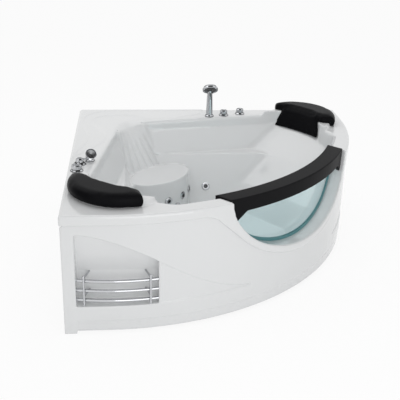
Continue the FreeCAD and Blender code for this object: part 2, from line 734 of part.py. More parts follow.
def pillow_slice(z, outer_in, inner_in):
    """The pillow's crescent at one height: outer arc, two ends and the gentle inner arc.

    Its corners are given as (distance from the left wall, distance from the bath's left end).
    """
    end = size["WallSide"]
    centre = Vector(SHELF_ALONG, end - SHELF_OFF, z)
    radius = PILLOW_RADIUS - outer_in
    inner = [Vector(x, end - y, z) for x, y in PILLOW_INNER]
    chord = (inner[2] - inner[0]).normalize()
    out = Vector(-chord.y, chord.x, 0)
    inner = [p + out * inner_in for p in inner]
    inner[0] += chord * outer_in * 0.4
    inner[2] -= chord * outer_in * 0.4
    trim = math.radians(outer_in * 0.12)
    starts, stops = (math.atan2(end - y - centre.y, x - centre.x) for x, y in (PILLOW_BACK, PILLOW_FRONT))
    starts -= trim
    stops += trim - 2 * math.pi
    turns = [starts, (starts + stops) / 2, stops]
    outer = [centre + Vector(math.cos(a), math.sin(a), 0) * radius for a in turns]
    corners = [wall_point(p.x, p.y, z) for p in outer + inner]
    edges = [Part.Arc(corners[0], corners[1], corners[2]).toShape(), Part.makeLine(corners[2], corners[5])]
    edges += [Part.Arc(corners[5], corners[4], corners[3]).toShape(), Part.makeLine(corners[3], corners[0])]
    return Part.Wire(edges)


def pillow():
    """The left pillow: a crowned saddle over the raised shelf with a leg inside the basin."""
    crown = RIM + size["RidgeHeight"] + size["PillowHeight"]
    gap = size["SoftGap"]
    slices = [(RIM + gap, 6, 0), (RIM + 22, 0, -4), (crown - 18, 3, -2), (crown - 6, 12, 6), (crown, 30, 22)]
    cushion = Part.makeLoft([pillow_slice(*one) for one in slices], True, True)
    low = RIM - size["PillowLeg"]
    leg = Part.makeLoft([pillow_slice(low, 20, -34), pillow_slice(RIM + 30, 10, -4)], True, True)
    water = front(cavity(-gap))
    leg = leg.common(water)
    body = cushion.fuse(leg)
    return body.cut(shelf(-1, gap))


left_pillow = pillow()
feature("pillow_left", left_pillow)
feature("pillow_right", across(left_pillow))

# ---------------------------------------------------------------- turned and drawn pieces


def origin_plane(body, role):
    """One of a body's own origin planes."""
    return next(f for f in body.Origin.OriginFeatures if f.Role == role)


def closed_sketch(body, role, points):
    """A polygon sketched on an origin plane, every corner tied to the spreadsheet."""
    sketch = body.newObject("Sketcher::SketchObject", "Profile")
    sketch.AttachmentSupport = (origin_plane(body, role), "")
    sketch.MapMode = "FlatFace"
    count = len(points)
    flat = [Vector(float(x), float(y), 0) for x, y in points]
    for i in range(count):
        sketch.addGeometry(Part.LineSegment(flat[i], flat[(i + 1) % count]), False)
    for i in range(count):
        sketch.addConstraint(Sketcher.Constraint("Coincident", i, 2, (i + 1) % count, 1))
    for i, (x, y) in enumerate(points):
        for kind, value in (("DistanceX", x), ("DistanceY", y)):
            at = sketch.addConstraint(Sketcher.Constraint(kind, -1, 1, i, 1, float(value)))
            if isinstance(value, Size):
                sketch.setExpression("Constraints[%d]" % at, value.formula)
    return sketch


def turned(label, points, place):
    """A body turned about its Z axis from a half section of (radius, height) corners."""
    body = doc.addObject("PartDesign::Body", label)
    sketch = closed_sketch(body, "XZ_Plane", points)
    turn = body.newObject("PartDesign::Revolution", "Turn")
    turn.Profile = sketch
    turn.ReferenceAxis = (sketch, ["V_Axis"])
    turn.Angle = 360
    sketch.Visibility = False
    body.Placement = place
    return body


def prism(label, points, length, place):
    """A body padded along its Z axis from a closed outline."""
    body = doc.addObject("PartDesign::Body", label)
    sketch = closed_sketch(body, "XY_Plane", points)
    pad = body.newObject("PartDesign::Pad", "Length")
    pad.Profile = sketch
    pad.Length = float(length)
    if isinstance(length, Size):
        pad.setExpression("Length", length.formula)
    body.Placement = place
    return body


def group(label, objects):
    """Several separate solids that share one node."""
    joined = doc.addObject("Part::Compound", label)
    joined.Links = objects
    return keep(joined, label)


def cutter(base, tool, label=None):
    """One object less another."""
    cut = doc.addObject("Part::Cut", label or "Cut")
    cut.Base = base
    cut.Tool = tool
    return keep(cut, label) if label else cut


# ---------------------------------------------------------------- deck fittings

SHANK = size["ShankRadius"]
BASE = size["KnobBase"]
KNOB = size["KnobRadius"]
GAP = size["TurnGap"]
NUT_RADIUS = 17
SPINDLE = 6


def hexagon(radius):
    """Corners of a nut."""
    return [(radius * math.cos(math.radians(60 * i)), radius * math.sin(math.radians(60 * i))) for i in range(6)]


def rosette(name, extra=0.0):
    """Base of a deck control: a domed rosette, a shank through the deck and a spindle for the knob."""
    flange = BASE + extra
    points = [(0, -48), (SHANK, -48), (SHANK, 0), (flange, 0), (flange, 3), (flange - 5, 8)]
    points += [(SPINDLE, 8), (SPINDLE, size["KnobHeight"] - 8), (0, size["KnobHeight"] - 8)]
    return turned(name, points, Placement(DECK_FITTINGS[name[:-5]], Rotation()))


def knob(name, extra=0.0):
    """Turning knob over the spindle, with a chamfered grip and a shallow dish on top."""
    radius = KNOB + extra
    top = size["KnobHeight"]
    points = [(SPINDLE + GAP, 8.5), (radius - 2, 8.5), (radius, 11), (radius, top - 4), (radius - 4, top)]
    points += [(radius - 9, top), (radius - 11, top - 1.5), (0, top - 1.5), (0, top - 8 + GAP * 10)]
    points += [(SPINDLE + GAP, top - 8 + GAP * 10)]
    body = turned(name + "_grip", points, Placement())
    flutes = []
    for i in range(12):
        turn = math.radians(30 * i)
        flute = doc.addObject("Part::Cylinder", "Flute")
        flute.Radius = 2.2
        flute.Height = 30
        out = Vector(math.cos(turn), math.sin(turn), 0) * (radius + 1)
        flute.Placement = Placement(out + UP * 9, Rotation())
        flutes.append(flute)
    ribs = doc.addObject("Part::Compound", "Flutes")
    ribs.Links = flutes
    grip = cutter(body, ribs, name + "_knob")
    grip.Placement = Placement(DECK_FITTINGS[name], Rotation())
    return grip


for name in ("air_control_inner", "air_control_outer", "mixer"):
    keep(rosette(name + "_base", 2.5 if name == "mixer" else 0.0), name + "_base")
    knob(name, 2.5 if name == "mixer" else 0.0)
keep(rosette("diverter_base", 2.5), "diverter_base")

lever_points = [(SPINDLE + GAP, 8.5), (15, 8.5), (18, 12), (18, 24), (12, 30), (0, 30)]
lever_points += [(0, size["KnobHeight"] - 8 + GAP * 10), (SPINDLE + GAP, size["KnobHeight"] - 8 + GAP * 10)]
lever_hub = turned("DiverterHub", lever_points, Placement())
lever_arm = prism("DiverterArm", [(8, -4), (34, -3), (34, 3), (8, 4)], 7, Placement(Vector(0, 0, 19), Rotation()))
lever = doc.addObject("Part::Fuse", "diverter_lever")
lever.Base = lever_hub
lever.Tool = lever_arm
lever.Placement = Placement(DECK_FITTINGS["diverter"], Rotation(UP, 20))
keep(lever, "diverter_lever")


def lock_nuts():
    """Backnuts that hold the fittings from under the deck."""
    made = []
    for name, point in DECK_FITTINGS.items():
        plate = prism("Nut", hexagon(NUT_RADIUS), 8, Placement(point - UP * (WALL + 8), Rotation()))
        hole = doc.addObject("Part::Cylinder", "NutHole")
        hole.setExpression("Radius", SHANK.formula)
        hole.Height = 20
        hole.Placement = Placement(point - UP * (WALL + 12), Rotation())
        made.append(cutter(plate, hole))
    return group("deck_backnuts", made)


lock_nuts()

# spout: a rounded body on the deck and a dish on its neck, tilted towards the bather
SPOUT_RISE = 20
NECK = 9
NECK_LENGTH = 14
spout_points = [(0, -48), (SHANK, -48), (SHANK, 0), (23, 0), (23, 4), (20, 8), (18, 14), (18.5, 22), (16, 31)]
spout_points += [(10, 37), (0, 38.5)]
spout_body = turned("SpoutBody", spout_points, Placement(DECK_FITTINGS["spout"], Rotation()))
tilt = Vector(0.25, -0.72, 0.65).normalize()
dish_place = frame_at(DECK_FITTINGS["spout"] + UP * SPOUT_RISE + tilt * SPOUT_RISE, tilt)
socket = doc.addObject("Part::Cylinder", "DishSocket")
socket.Radius = NECK
socket.Height = NECK_LENGTH + 20
socket.Placement = dish_place.multiply(Placement(UP * -NECK_LENGTH, Rotation()))
cutter(spout_body, socket, "spout_foot")
dish_points = [(0, -NECK_LENGTH), (NECK, -NECK_LENGTH), (NECK, 0), (14, 2), (24, 8), (27, 13), (27, 16), (25, 17)]
dish_points += [(22, 12), (0, 10)]
keep(turned("spout_dish", dish_points, dish_place), "spout_dish")

# hand shower: a collar in the deck and the handset that lifts out of it
HANDLE = size["HandleRadius"]
collar_points = [(0, -60), (15, -60), (15, -48), (SHANK, -48), (SHANK, 0), (24, 0), (24, 6), (20, 9)]
collar_points += [(10 + GAP, 9), (10 + GAP, -20), (0, -20)]
SHOWER = Placement(DECK_FITTINGS["hand_shower"], Rotation())
keep(turned("shower_collar", collar_points, SHOWER), "shower_collar")
handset_top = size["ShowerHeight"]
stem_points = [(0, -19.5), (8, -19.5), (10, -16), (10, 9.3), (HANDLE - 1, 9.3), (HANDLE, 14), (HANDLE - 2, 100)]
stem_points += [(HANDLE - 4, handset_top - 60), (HANDLE - 4, handset_top - 40), (0, handset_top - 40)]
stem = turned("Stem", stem_points, Placement())
HEAD = size["HeadRadius"]
head_points = [(0, -10), (HEAD - 8, -12), (HEAD - 5, -15), (HEAD, -12), (HEAD, -4), (HEAD - 8, 8)]
head_points += [(HEAD - 25, 17), (0, 20)]
head_tilt = Rotation(Vector(1, 0, 0), -42)
head = turned("Head", head_points, Placement(Vector(0, -14, handset_top - 33), head_tilt))
handset = doc.addObject("Part::Fuse", "hand_shower")
handset.Base = stem
handset.Tool = head
handset.Placement = SHOWER
keep(handset, "hand_shower")

# ---------------------------------------------------------------- jets, suction, drain and overflow

JET = size["JetRadius"]
FLANGE = size["JetFlange"]
NOZZLE = size["NozzleRadius"]
TAIL = 46


def jet_housing(name, place):
    """Housing through the wall: a flange in the water, a stepped bore for the nozzle and a closed tail."""
    points = [(0, -TAIL), (8, -TAIL), (8, -30), (JET, -30), (JET, 0), (FLANGE, 0), (FLANGE, 2), (FLANGE - 4, 5)]
    points += [(NOZZLE + 2 + GAP, 5), (NOZZLE + 2 + GAP, -6), (4, -6), (4, -20), (0, -20)]
    return turned("Housing_" + name, points, place)


def jet_nozzle(name, place):
    """Turning nozzle with an off-centre outlet."""
    points = [(0, -5.7), (NOZZLE + 2, -5.7), (NOZZLE + 2, 5), (NOZZLE, 7), (6, 7), (5, 2), (0, 2)]
    blank = turned("Nozzle_" + name, points, Placement())
    outlet = doc.addObject("Part::Cylinder", "Outlet")
    outlet.Radius = 2.2
    outlet.Height = 20
    outlet.Placement = Placement(Vector(2, 0, -8), Rotation(Vector(0, 1, 0), 12))
    grip = doc.addObject("Part::Box", "Grip")
    grip.Length = 3
    grip.Width = 2
    grip.Height = 3
    grip.Placement = Placement(Vector(7, -1, 6), Rotation())
    drilled = cutter(blank, outlet)
    nozzle = doc.addObject("Part::Fuse", "jet_nozzle_" + name)
    nozzle.Base = drilled
    nozzle.Tool = grip
    nozzle.Placement = place
    return keep(nozzle, "jet_nozzle_" + name)


group("jet_housings", [jet_housing(name, place) for name, place in JETS.items()])
for name, place in JETS.items():
    jet_nozzle(name, place)


def jet_nuts():
    """Backnuts on the jet housings behind the wall."""
    made = []
    for place in JETS.values():
        points = [(JET, -22), (JET + 6, -22), (JET + 6, -13), (JET, -13)]
        made.append(turned("JetNut", points, place))
    return group("jet_backnuts", made)


jet_nuts()

suction_points = [(0, -60), (20, -60), (20, -30), (24, -30), (24, 0), (38, 0), (38, 3), (32, 6), (0, 6)]
suction_blank = turned("SuctionBlank", suction_points, SUCTION)
slots = []
for i in range(-3, 4):
    slot = doc.addObject("Part::Box", "Slot")
    slot.Length = 3
    slot.Width = 44 - 3 * abs(i)
    slot.Height = 6
    place = Placement(Vector(6.5 * i - 1.5, -(44 - 3 * abs(i)) / 2, 2), Rotation())
    slot.Placement = SUCTION.multiply(place)
    slots.append(slot)
slot_group = doc.addObject("Part::Compound", "Slots")
slot_group.Links = slots
cutter(suction_blank, slot_group, "suction_grille")


# ---------------------------------------------------------------- drain and overflow

drain_points = [(0, -43), (24, -43), (24, 0), (size["DrainRadius"], 0), (size["DrainRadius"], 2)]
drain_points += [(size["DrainRadius"] - 4, 3), (24, 3), (19.5, -3), (19.5, -25), (4 + GAP, -25)]
drain_points += [(4 + GAP, -40), (0, -40)]
keep(turned("drain_body", drain_points, DRAIN), "drain_body")
plug_points = [(0, -39.5), (4, -39.5), (4, -6), (17, -6), (19, -3.2), (22.6, 1.6), (22.6, 4), (18, 6), (0, 6.5)]
keep(turned("drain_plug", plug_points, DRAIN), "drain_plug")
TRAP_RADIUS = 35
PIPE_LEVEL = 47
trap_top = size["FloorHeight"] - 43
trap_place = Placement(front_point(size["DrainPlace"], 0, 0), Rotation())
trap_points = [(0, 20), (TRAP_RADIUS - 6, 20), (TRAP_RADIUS, 26), (TRAP_RADIUS, trap_top), (0, trap_top)]
keep(turned("drain_trap", trap_points, trap_place), "drain_trap")

overflow_points = [(0, -55), (20, -55), (20, 0), (36, 0), (36, 3), (30, 6), (SPINDLE, 6), (SPINDLE, 14), (0, 14)]
keep(turned("overflow_body", overflow_points, OVERFLOW), "overflow_body")
dial_points = [(SPINDLE + GAP, 6.5), (28, 6.5), (30, 9), (30, 15), (26, 20), (0, 20), (0, 14.5)]
dial_points += [(SPINDLE + GAP, 14.5)]
dial = turned("OverflowDial", dial_points, Placement())
notches = []
for i in range(3):
    notch = doc.addObject("Part::Cylinder", "Notch")
    notch.Radius = 7
    notch.Height = 30
    turn = math.radians(120 * i)
    notch.Placement = Placement(Vector(34 * math.cos(turn), 34 * math.sin(turn), 9), Rotation())
    notches.append(notch)
notch_group = doc.addObject("Part::Compound", "Notches")
notch_group.Links = notches
overflow_knob = cutter(dial, notch_group, "overflow_knob")
overflow_knob.Placement = OVERFLOW


def pipe(points, radius, bend):
    """A bent pipe: straight runs joined by tangent arcs of one radius, a circle swept along them."""
    edges = []
    here = points[0]
    for before, corner, after in zip(points[:-2], points[1:-1], points[2:]):
        inward = (before - corner).normalize()
        onward = (after - corner).normalize()
        half_turn = inward.getAngle(onward) / 2
        back = bend / math.tan(half_turn)
        start = corner + inward * back
        end = corner + onward * back
        centre = corner + (inward + onward).normalize() * (bend / math.sin(half_turn))
        middle = centre + (corner - centre).normalize() * bend
        edges.append(Part.makeLine(here, start))
        edges.append(Part.Arc(start, middle, end).toShape())
        here = end
    edges.append(Part.makeLine(here, points[-1]))
    circle = Part.Wire(Part.makeCircle(radius, points[0], points[1] - points[0]))
    return Part.Wire(edges).makePipeShell([circle], True, True)


WASTE = size["WastePipe"]
WASTE_LENGTH = size["DrainPlace"] + 115
SPIGOT = 45
waste_start = front_point(size["DrainPlace"] - TRAP_RADIUS, 0, PIPE_LEVEL)
waste_points = [(0, 0), (WASTE + 2, 0), (WASTE + 2, WASTE_LENGTH - SPIGOT), (WASTE, WASTE_LENGTH - SPIGOT)]
waste_points += [(WASTE, WASTE_LENGTH), (0, WASTE_LENGTH)]
waste_place = frame_at(waste_start, FRONT.Rotation.multVec(Vector(-1, 0, 0)))
keep(turned("waste_pipe", waste_points, waste_place), "waste_pipe")

OVERFLOW_PIPE = 16
pipe_place = FRONT_RADIUS - 50
pipe_top = front_point(pipe_place, OVERFLOW_ANGLE, OVERFLOW_HEIGHT - 20)
pipe_foot = front_point(pipe_place, OVERFLOW_ANGLE, PIPE_LEVEL)
trap_centre = front_point(size["DrainPlace"], 0, PIPE_LEVEL)
pipe_end = trap_centre + (pipe_foot - trap_centre).normalize() * (TRAP_RADIUS + 0.2)
feature("overflow_pipe", pipe([pipe_top, pipe_foot, pipe_end], OVERFLOW_PIPE, 40))

# ---------------------------------------------------------------- towel rail in the recess

FACE = size["PanelGap"] + WALL - HALF
RECESS_BACK = FACE + size["RecessDepth"]
RECESS_RIGHT = size["RecessRight"] - HALF
BAR = size["BarRadius"]
BAR_LOW = 160
BAR_END = -HALF + 30
BAR_BOW = 18
BAR_REACH = 1.02
POST_RADIUS = 4.5
POST_INSET = 34


def towel_bars():
    """Three bowed bars between the recess's sides."""
    middle_x = (SWOOSH_LEFT + RECESS_RIGHT) / 2
    half = (RECESS_RIGHT - SWOOSH_LEFT) / 2
    between = Part.makeBox(2 * half, 200, 400, Vector(SWOOSH_LEFT, -HALF - 50, 50))
    bars = []
    for i in range(3):
        z = BAR_LOW + i * size["BarPitch"]
        reach = half * BAR_REACH
        drop = BAR_END + BAR_BOW * (BAR_REACH ** 2 - 1)
        ends = [Vector(middle_x - reach, drop, z), Vector(middle_x + reach, drop, z)]
        arc = Part.Arc(ends[0], Vector(middle_x, BAR_END - BAR_BOW, z), ends[1])
        spine = Part.Wire(arc.toShape())
        circle = Part.Wire(Part.makeCircle(BAR, ends[0], arc.tangent(arc.FirstParameter)[0]))
        bars.append(spine.makePipeShell([circle], True, True).common(between))
    return bars


def post_place(side, bottom):
    """Where a post stands in front of the bars: side is -1 for the left post and 1 for the right one."""
    edge = SWOOSH_LEFT if side < 0 else RECESS_RIGHT
    return Vector(edge - side * POST_INSET, BAR_END - BAR - 11, bottom)


def towel_posts():
    """Two upright rods in front of the bars."""
    posts = []
    for side in (-1, 1):
        rod = Part.makeCylinder(POST_RADIUS, 142, post_place(side, 140))
        posts.append(rod.makeFillet(POST_RADIUS * 0.6, rod.Edges))
    return posts


def towel_brackets():
    """Slanted arms from the recess's back to the posts."""
    arms = []
    for side in (-1, 1):
        for z in (270, 183):
            post = post_place(side, z)
            root = Vector(post.x - side * 24, RECESS_BACK + 10, z)
            arm = Part.makeCylinder(4, (post - root).Length, root, post - root)
            arm = arm.common(Part.makeBox(400, RECESS_BACK + HALF, 400, Vector(post.x - 200, -HALF, z - 200)))
            arms.append(arm.cut(Part.makeCylinder(POST_RADIUS, 200, Vector(post.x, post.y, z - 100))))
    return arms


feature("towel_bars", Part.makeCompound(towel_bars()))
feature("towel_posts", Part.makeCompound(towel_posts()))
feature("towel_brackets", Part.makeCompound(towel_brackets()))

# ---------------------------------------------------------------- steel frame and feet

TUBE = size["TubeSide"]
FRAME_TOP = size["FloorHeight"] - WALL
RAIL_OFF = 13
RAIL_END = 22
CHORD = size["ChordPlace"]
CHORD_HALF = 1030
RIB = size["RibPlace"]
RIB_END = FRONT_RADIUS - 100


def square_tube(side, length, place):
    """A hollow square tube along a placement's X axis, its lower left edge on that axis."""
    outer = doc.addObject("Part::Box", "Outside")
    inner = doc.addObject("Part::Box", "Inside")
    wall = size["TubeWall"]
    outer.Length = float(length)
    inner.Length = float(length) + 20
    for piece, across_size in ((outer, side), (inner, side - wall * 2)):
        piece.setExpression("Width", across_size.formula)
        piece.setExpression("Height", across_size.formula)
    outer.Placement = place
    inner.Placement = place.multiply(Placement(Vector(-10, wall, wall), Rotation()))
    return cutter(outer, inner)


def rail(length, place, trim=False):
    """A frame tube; where trim is set, only what lies inside the wall rails."""
    tube = square_tube(TUBE, length, place)
    if not trim:
        return tube
    inside = doc.addObject("Part::Box", "BetweenRails")
    inside.Length = 2 * HALF
    inside.Width = 2 * HALF
    inside.Height = 400
    inside.Placement = Placement(Vector(RAIL_OFF + TUBE - HALF, -HALF - RAIL_OFF - TUBE, 0), Rotation())
    kept = doc.addObject("Part::Common", "Kept")
    kept.Base = tube
    kept.Tool = inside
    return kept


level = size["FrameBottom"]
long_rail = size["WallSide"] - RAIL_OFF - RAIL_END
back_place = Placement(Vector(RAIL_OFF - HALF, HALF - RAIL_OFF - TUBE, level), Rotation())
keep(rail(long_rail, back_place), "frame_rail_back")
left_place = Placement(Vector(RAIL_OFF - HALF + TUBE, RAIL_END - HALF, level), Rotation(UP, 90))
keep(rail(long_rail - TUBE, left_place), "frame_rail_left")
chord_place = FRONT.multiply(Placement(Vector(CHORD + TUBE / 2, -CHORD_HALF, level), Rotation(UP, 90)))
keep(rail(2 * CHORD_HALF, chord_place, True), "frame_chord")
ribs = []
outriggers = []
for side in (-1, 1):
    inner_place = FRONT.multiply(Placement(Vector(-120, side * RIB - TUBE / 2, level), Rotation()))
    ribs.append(rail(CHORD + 120 - TUBE / 2, inner_place, True))
    outer_place = FRONT.multiply(Placement(Vector(CHORD + TUBE / 2, side * RIB - TUBE / 2, level), Rotation()))
    outriggers.append(rail(RIB_END - CHORD - TUBE / 2, outer_place))
group("frame_ribs", ribs)
group("frame_outriggers", outriggers)

POST = size["UprightSide"]


def upright(along, off, top):
    """A standing tube on the frame, centred at a place measured from the back corner."""
    corner = wall_point(along, off, FRAME_TOP) + Vector(POST / 2, -POST / 2, 0)
    place = Placement(corner, Rotation(Vector(0, 1, 0), -90))
    return square_tube(POST, top - FRAME_TOP, place)


deck_under = RIM - WALL
end_off = size["WallSide"] - 60
uprights = [upright(30, 30, deck_under), upright(30, 750, deck_under), upright(750, 30, deck_under)]
uprights += [upright(30, end_off, deck_under), upright(end_off, 30, deck_under)]
group("frame_uprights", uprights)
seat_under = size["SeatHeight"] - size["SeatPad"] - WALL
seat_posts = []
for side in (-1, 1):
    spot = FRONT.multVec(Vector(180, side * RIB, 0))
    seat_posts.append(upright(spot.x + HALF, HALF - spot.y, seat_under))
group("seat_supports", seat_posts)

MIDDLE = RAIL_OFF + TUBE / 2
FEET = [wall_point(150, MIDDLE, 0), wall_point(MIDDLE, 150, 0)]
FEET += [wall_point(MIDDLE, end_off - 20, 0), wall_point(end_off - 20, MIDDLE, 0), front_point(CHORD, 0, 0)]
FEET += [FRONT.multVec(Vector(RIB_END - 50, side * RIB, 0)) for side in (-1, 1)]
PAD = size["FootRadius"]
STUD = 6
pad_points = [(0, 0), (PAD, 0), (PAD, 4), (PAD - 8, 10), (0, 10)]
group("foot_pads", [turned("Pad", pad_points, Placement(spot, Rotation())) for spot in FEET])
studs = []
lock_rings = []
for spot in FEET:
    stud = doc.addObject("Part::Cylinder", "Stud")
    stud.Radius = STUD
    stud.setExpression("Height", (level - 10).formula)
    stud.Placement = Placement(spot + UP * 10, Rotation())
    studs.append(stud)
    lock = prism("LockNut", hexagon(11), 10, Placement(spot + UP * (level - 10), Rotation()))
    bore = doc.addObject("Part::Cylinder", "NutBore")
    bore.Radius = STUD
    bore.Height = 30
    bore.Placement = Placement(spot + UP * (level - 20), Rotation())
    lock_rings.append(cutter(lock, bore))
group("foot_studs", studs)
group("foot_nuts", lock_rings)

PANEL_INSIDE = FRONT_RADIUS - WALL - size["PanelGap"] - size["PanelThickness"]
tabs = []
for side in (-1, 1):
    tab = doc.addObject("Part::Box", "Tab")
    tab.Length = 100
    tab.Width = 26
    tab.Height = 4
    tab.Placement = FRONT.multiply(Placement(Vector(RIB_END, side * RIB - 13, FRAME_TOP - 4), Rotation()))
    reach = doc.addObject("Part::Cylinder", "Reach")
    reach.setExpression("Radius", (PANEL_INSIDE - 0.1).formula)
    reach.Height = 200
    reach.Placement = FRONT
    trimmed = doc.addObject("Part::Common", "Trimmed")
    trimmed.Base = tab
    trimmed.Tool = reach
    tabs.append(trimmed)
group("apron_brackets", tabs)

# ---------------------------------------------------------------- pump and pipes

PUMP = size["PumpRadius"]
MOTOR = size["MotorRadius"]
PUMP_OFF = 150
PLATE = 5
PUMP_LEVEL = FRAME_TOP + PLATE + PUMP + 8
PUMP_START = 850
WET_LENGTH = 90
MOTOR_LENGTH = 200
ALONG = Rotation(Vector(0, 1, 0), 90)
pump_place = Placement(wall_point(PUMP_START, PUMP_OFF, PUMP_LEVEL), ALONG)
wet_points = [(0, 0), (28, 0), (28, 12), (PUMP - 15, 12), (PUMP, 27), (PUMP, WET_LENGTH), (0, WET_LENGTH)]
wet = turned("WetEnd", wet_points, pump_place)
OUTLET_START = 143
outlet_level = size["JetHeight"] - 35
outlet = doc.addObject("Part::Cylinder", "PumpOutlet")
outlet.Radius = 16
outlet.Height = PUMP_OFF + PUMP - OUTLET_START
outlet.Placement = frame_at(wall_point(PUMP_START + 55, PUMP_OFF, outlet_level), Vector(0, -1, 0))
pump = doc.addObject("Part::Fuse", "pump_wet_end")
pump.Base = wet
pump.Tool = outlet
keep(pump, "pump_wet_end")
motor_points = [(0, WET_LENGTH), (MOTOR, WET_LENGTH), (MOTOR, WET_LENGTH + 150), (MOTOR + 4, WET_LENGTH + 150)]
MOTOR_END = WET_LENGTH + MOTOR_LENGTH
motor_points += [(MOTOR + 4, MOTOR_END - 10), (MOTOR - 6, MOTOR_END), (0, MOTOR_END)]
motor_can = turned("MotorCan", motor_points, pump_place)
cradle = doc.addObject("Part::Box", "Cradle")
cradle.Length = 90
cradle.Width = 80
cradle.Height = 30
cradle.Placement = Placement(wall_point(PUMP_START + 120, PUMP_OFF + 40, FRAME_TOP + PLATE), Rotation())
motor = doc.addObject("Part::Fuse", "pump_motor")
motor.Base = motor_can
motor.Tool = cradle
keep(motor, "pump_motor")
plate = doc.addObject("Part::Box", "PumpPlate")
plate.Length = 300
plate.Width = 215
plate.Height = PLATE
plate.Placement = Placement(wall_point(PUMP_START, RAIL_OFF + 215, FRAME_TOP), Rotation())
legs = []
for along in (PUMP_START + 10, PUMP_START + 265):
    corner = wall_point(along + POST, RAIL_OFF + 215, 0)
    place = Placement(corner, Rotation(Vector(0, 1, 0), -90))
    legs.append(square_tube(POST, FRAME_TOP, place))
stand = doc.addObject("Part::MultiFuse", "pump_stand")
stand.Shapes = [plate] + legs
keep(stand, "pump_stand")

SUCTION_BEND = 50
suction_tail = SUCTION.multVec(Vector(0, 0, -60))
suction_turn = SUCTION.multVec(Vector(0, 0, -146))
suction_route = [suction_tail, suction_turn, wall_point(600, PUMP_OFF, PUMP_LEVEL)]
suction_route.append(wall_point(PUMP_START, PUMP_OFF, PUMP_LEVEL))
feature("suction_pipe", pipe(suction_route, size["SuctionPipe"], SUCTION_BEND))

PIPE = size["PressurePipe"]
MANIFOLD = 345
MANIFOLD_END = 120
manifold_place = FRONT.multVec(Vector(MANIFOLD, -MANIFOLD_END, size["JetHeight"]))
trunk = doc.addObject("Part::Cylinder", "Trunk")
trunk.setExpression("Radius", PIPE.formula)
trunk.Height = 2 * MANIFOLD_END
trunk.Placement = frame_at(manifold_place, FRONT.Rotation.multVec(Vector(0, 1, 0)))
branches = []
for name, place in JETS.items():
    if name.startswith("seat"):
        tail = FRONT.inverse().multVec(place.multVec(Vector(0, 0, -TAIL)))
        out = FRONT.inverse().Rotation.multVec(place.Rotation.multVec(UP))
        branch = doc.addObject("Part::Cylinder", "Branch")
        branch.Radius = 7
        branch.Height = (tail.x - MANIFOLD) / out.x
        branch.Placement = place.multiply(Placement(Vector(0, 0, -TAIL - (tail.x - MANIFOLD) / out.x), Rotation()))
        branches.append(branch)
manifold = doc.addObject("Part::MultiFuse", "jet_manifold")
manifold.Shapes = [trunk] + branches
keep(manifold, "jet_manifold")


def side_pipe(name, side):
    """Pipe from the manifold's end to behind a side jet, and on to the given end."""
    tail = JETS[name].multVec(Vector(0, 0, -TAIL - PIPE - 0.2))
    off = HALF - tail.y if side > 0 else tail.x + HALF
    z = tail.z
    start = FRONT.multVec(Vector(MANIFOLD, side * MANIFOLD_END, size["JetHeight"]))
    turn = FRONT.multVec(Vector(MANIFOLD, side * (MANIFOLD_END + 40), size["JetHeight"]))
    if side > 0:
        route = [wall_point(650, off, z), wall_point(PUMP_START + 55, off, z), wall_point(PUMP_START + 55, 232, z)]
    else:
        route = [wall_point(off, 650, z), wall_point(off, 760, z)]
    return pipe([start, turn] + route, PIPE, 30)


feature("pressure_pipe_right", side_pipe("side_right", 1))
feature("pressure_pipe_left", side_pipe("side_left", -1))

# ---------------------------------------------------------------- mixer valve under the deck

valve_top = RIM - 48
mixer_spot = DECK_FITTINGS["mixer"]
valve_points = [(0, -46), (18, -46), (20, -41), (20, 0), (0, 0)]
valve_can = turned("ValveCan", valve_points, Placement(Vector(mixer_spot.x, mixer_spot.y, valve_top), Rotation()))
inlets = []
for shift in (-28, 28):
    elbow = doc.addObject("Part::Cylinder", "Inlet")
    elbow.Radius = 10.5
    elbow.Height = 60
    elbow.Placement = Placement(Vector(mixer_spot.x + 24, mixer_spot.y + shift, valve_top - 80), Rotation())
    inlets.append(elbow)
yoke = doc.addObject("Part::Box", "Yoke")
yoke.Length = 48
yoke.Width = 78
yoke.Height = 26
yoke.Placement = Placement(Vector(mixer_spot.x - 11, mixer_spot.y - 39, valve_top - 46), Rotation())
valve = doc.addObject("Part::MultiFuse", "mixer_valve")
valve.Shapes = [valve_can, yoke] + inlets
keep(valve, "mixer_valve")


# ---------------------------------------------------------------- check and write

doc.recompute()
for obj in doc.Objects:
    for state in obj.State:
        if state in ("Invalid", "Error"):
            raise RuntimeError("%s did not build" % obj.Label)
for obj in parts:
    if obj.Shape.isNull() or not obj.Shape.isValid() or not obj.Shape.Solids:
        raise RuntimeError("%s is not a sound solid" % obj.Label)
os.makedirs("parts", exist_ok=True)
for obj in parts:
    obj.Shape.exportStep("parts/%s.step" % obj.Label)
print("%d pieces" % len(parts))
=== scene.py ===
"""Looks of a corner bath with water jets.

A white acrylic shell with a glass front, black pillows and chrome fittings. Every length is in
metres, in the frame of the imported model: the origin is on the floor at the middle of the square
footprint, +Z is up, the room walls are at -X and +Y and the curved front faces the +X, -Y corner.
"""
import json
import logging
import math
from dataclasses import dataclass, field
from enum import Enum
from typing import Callable

import bmesh
import bpy
from mathutils import Matrix, Vector


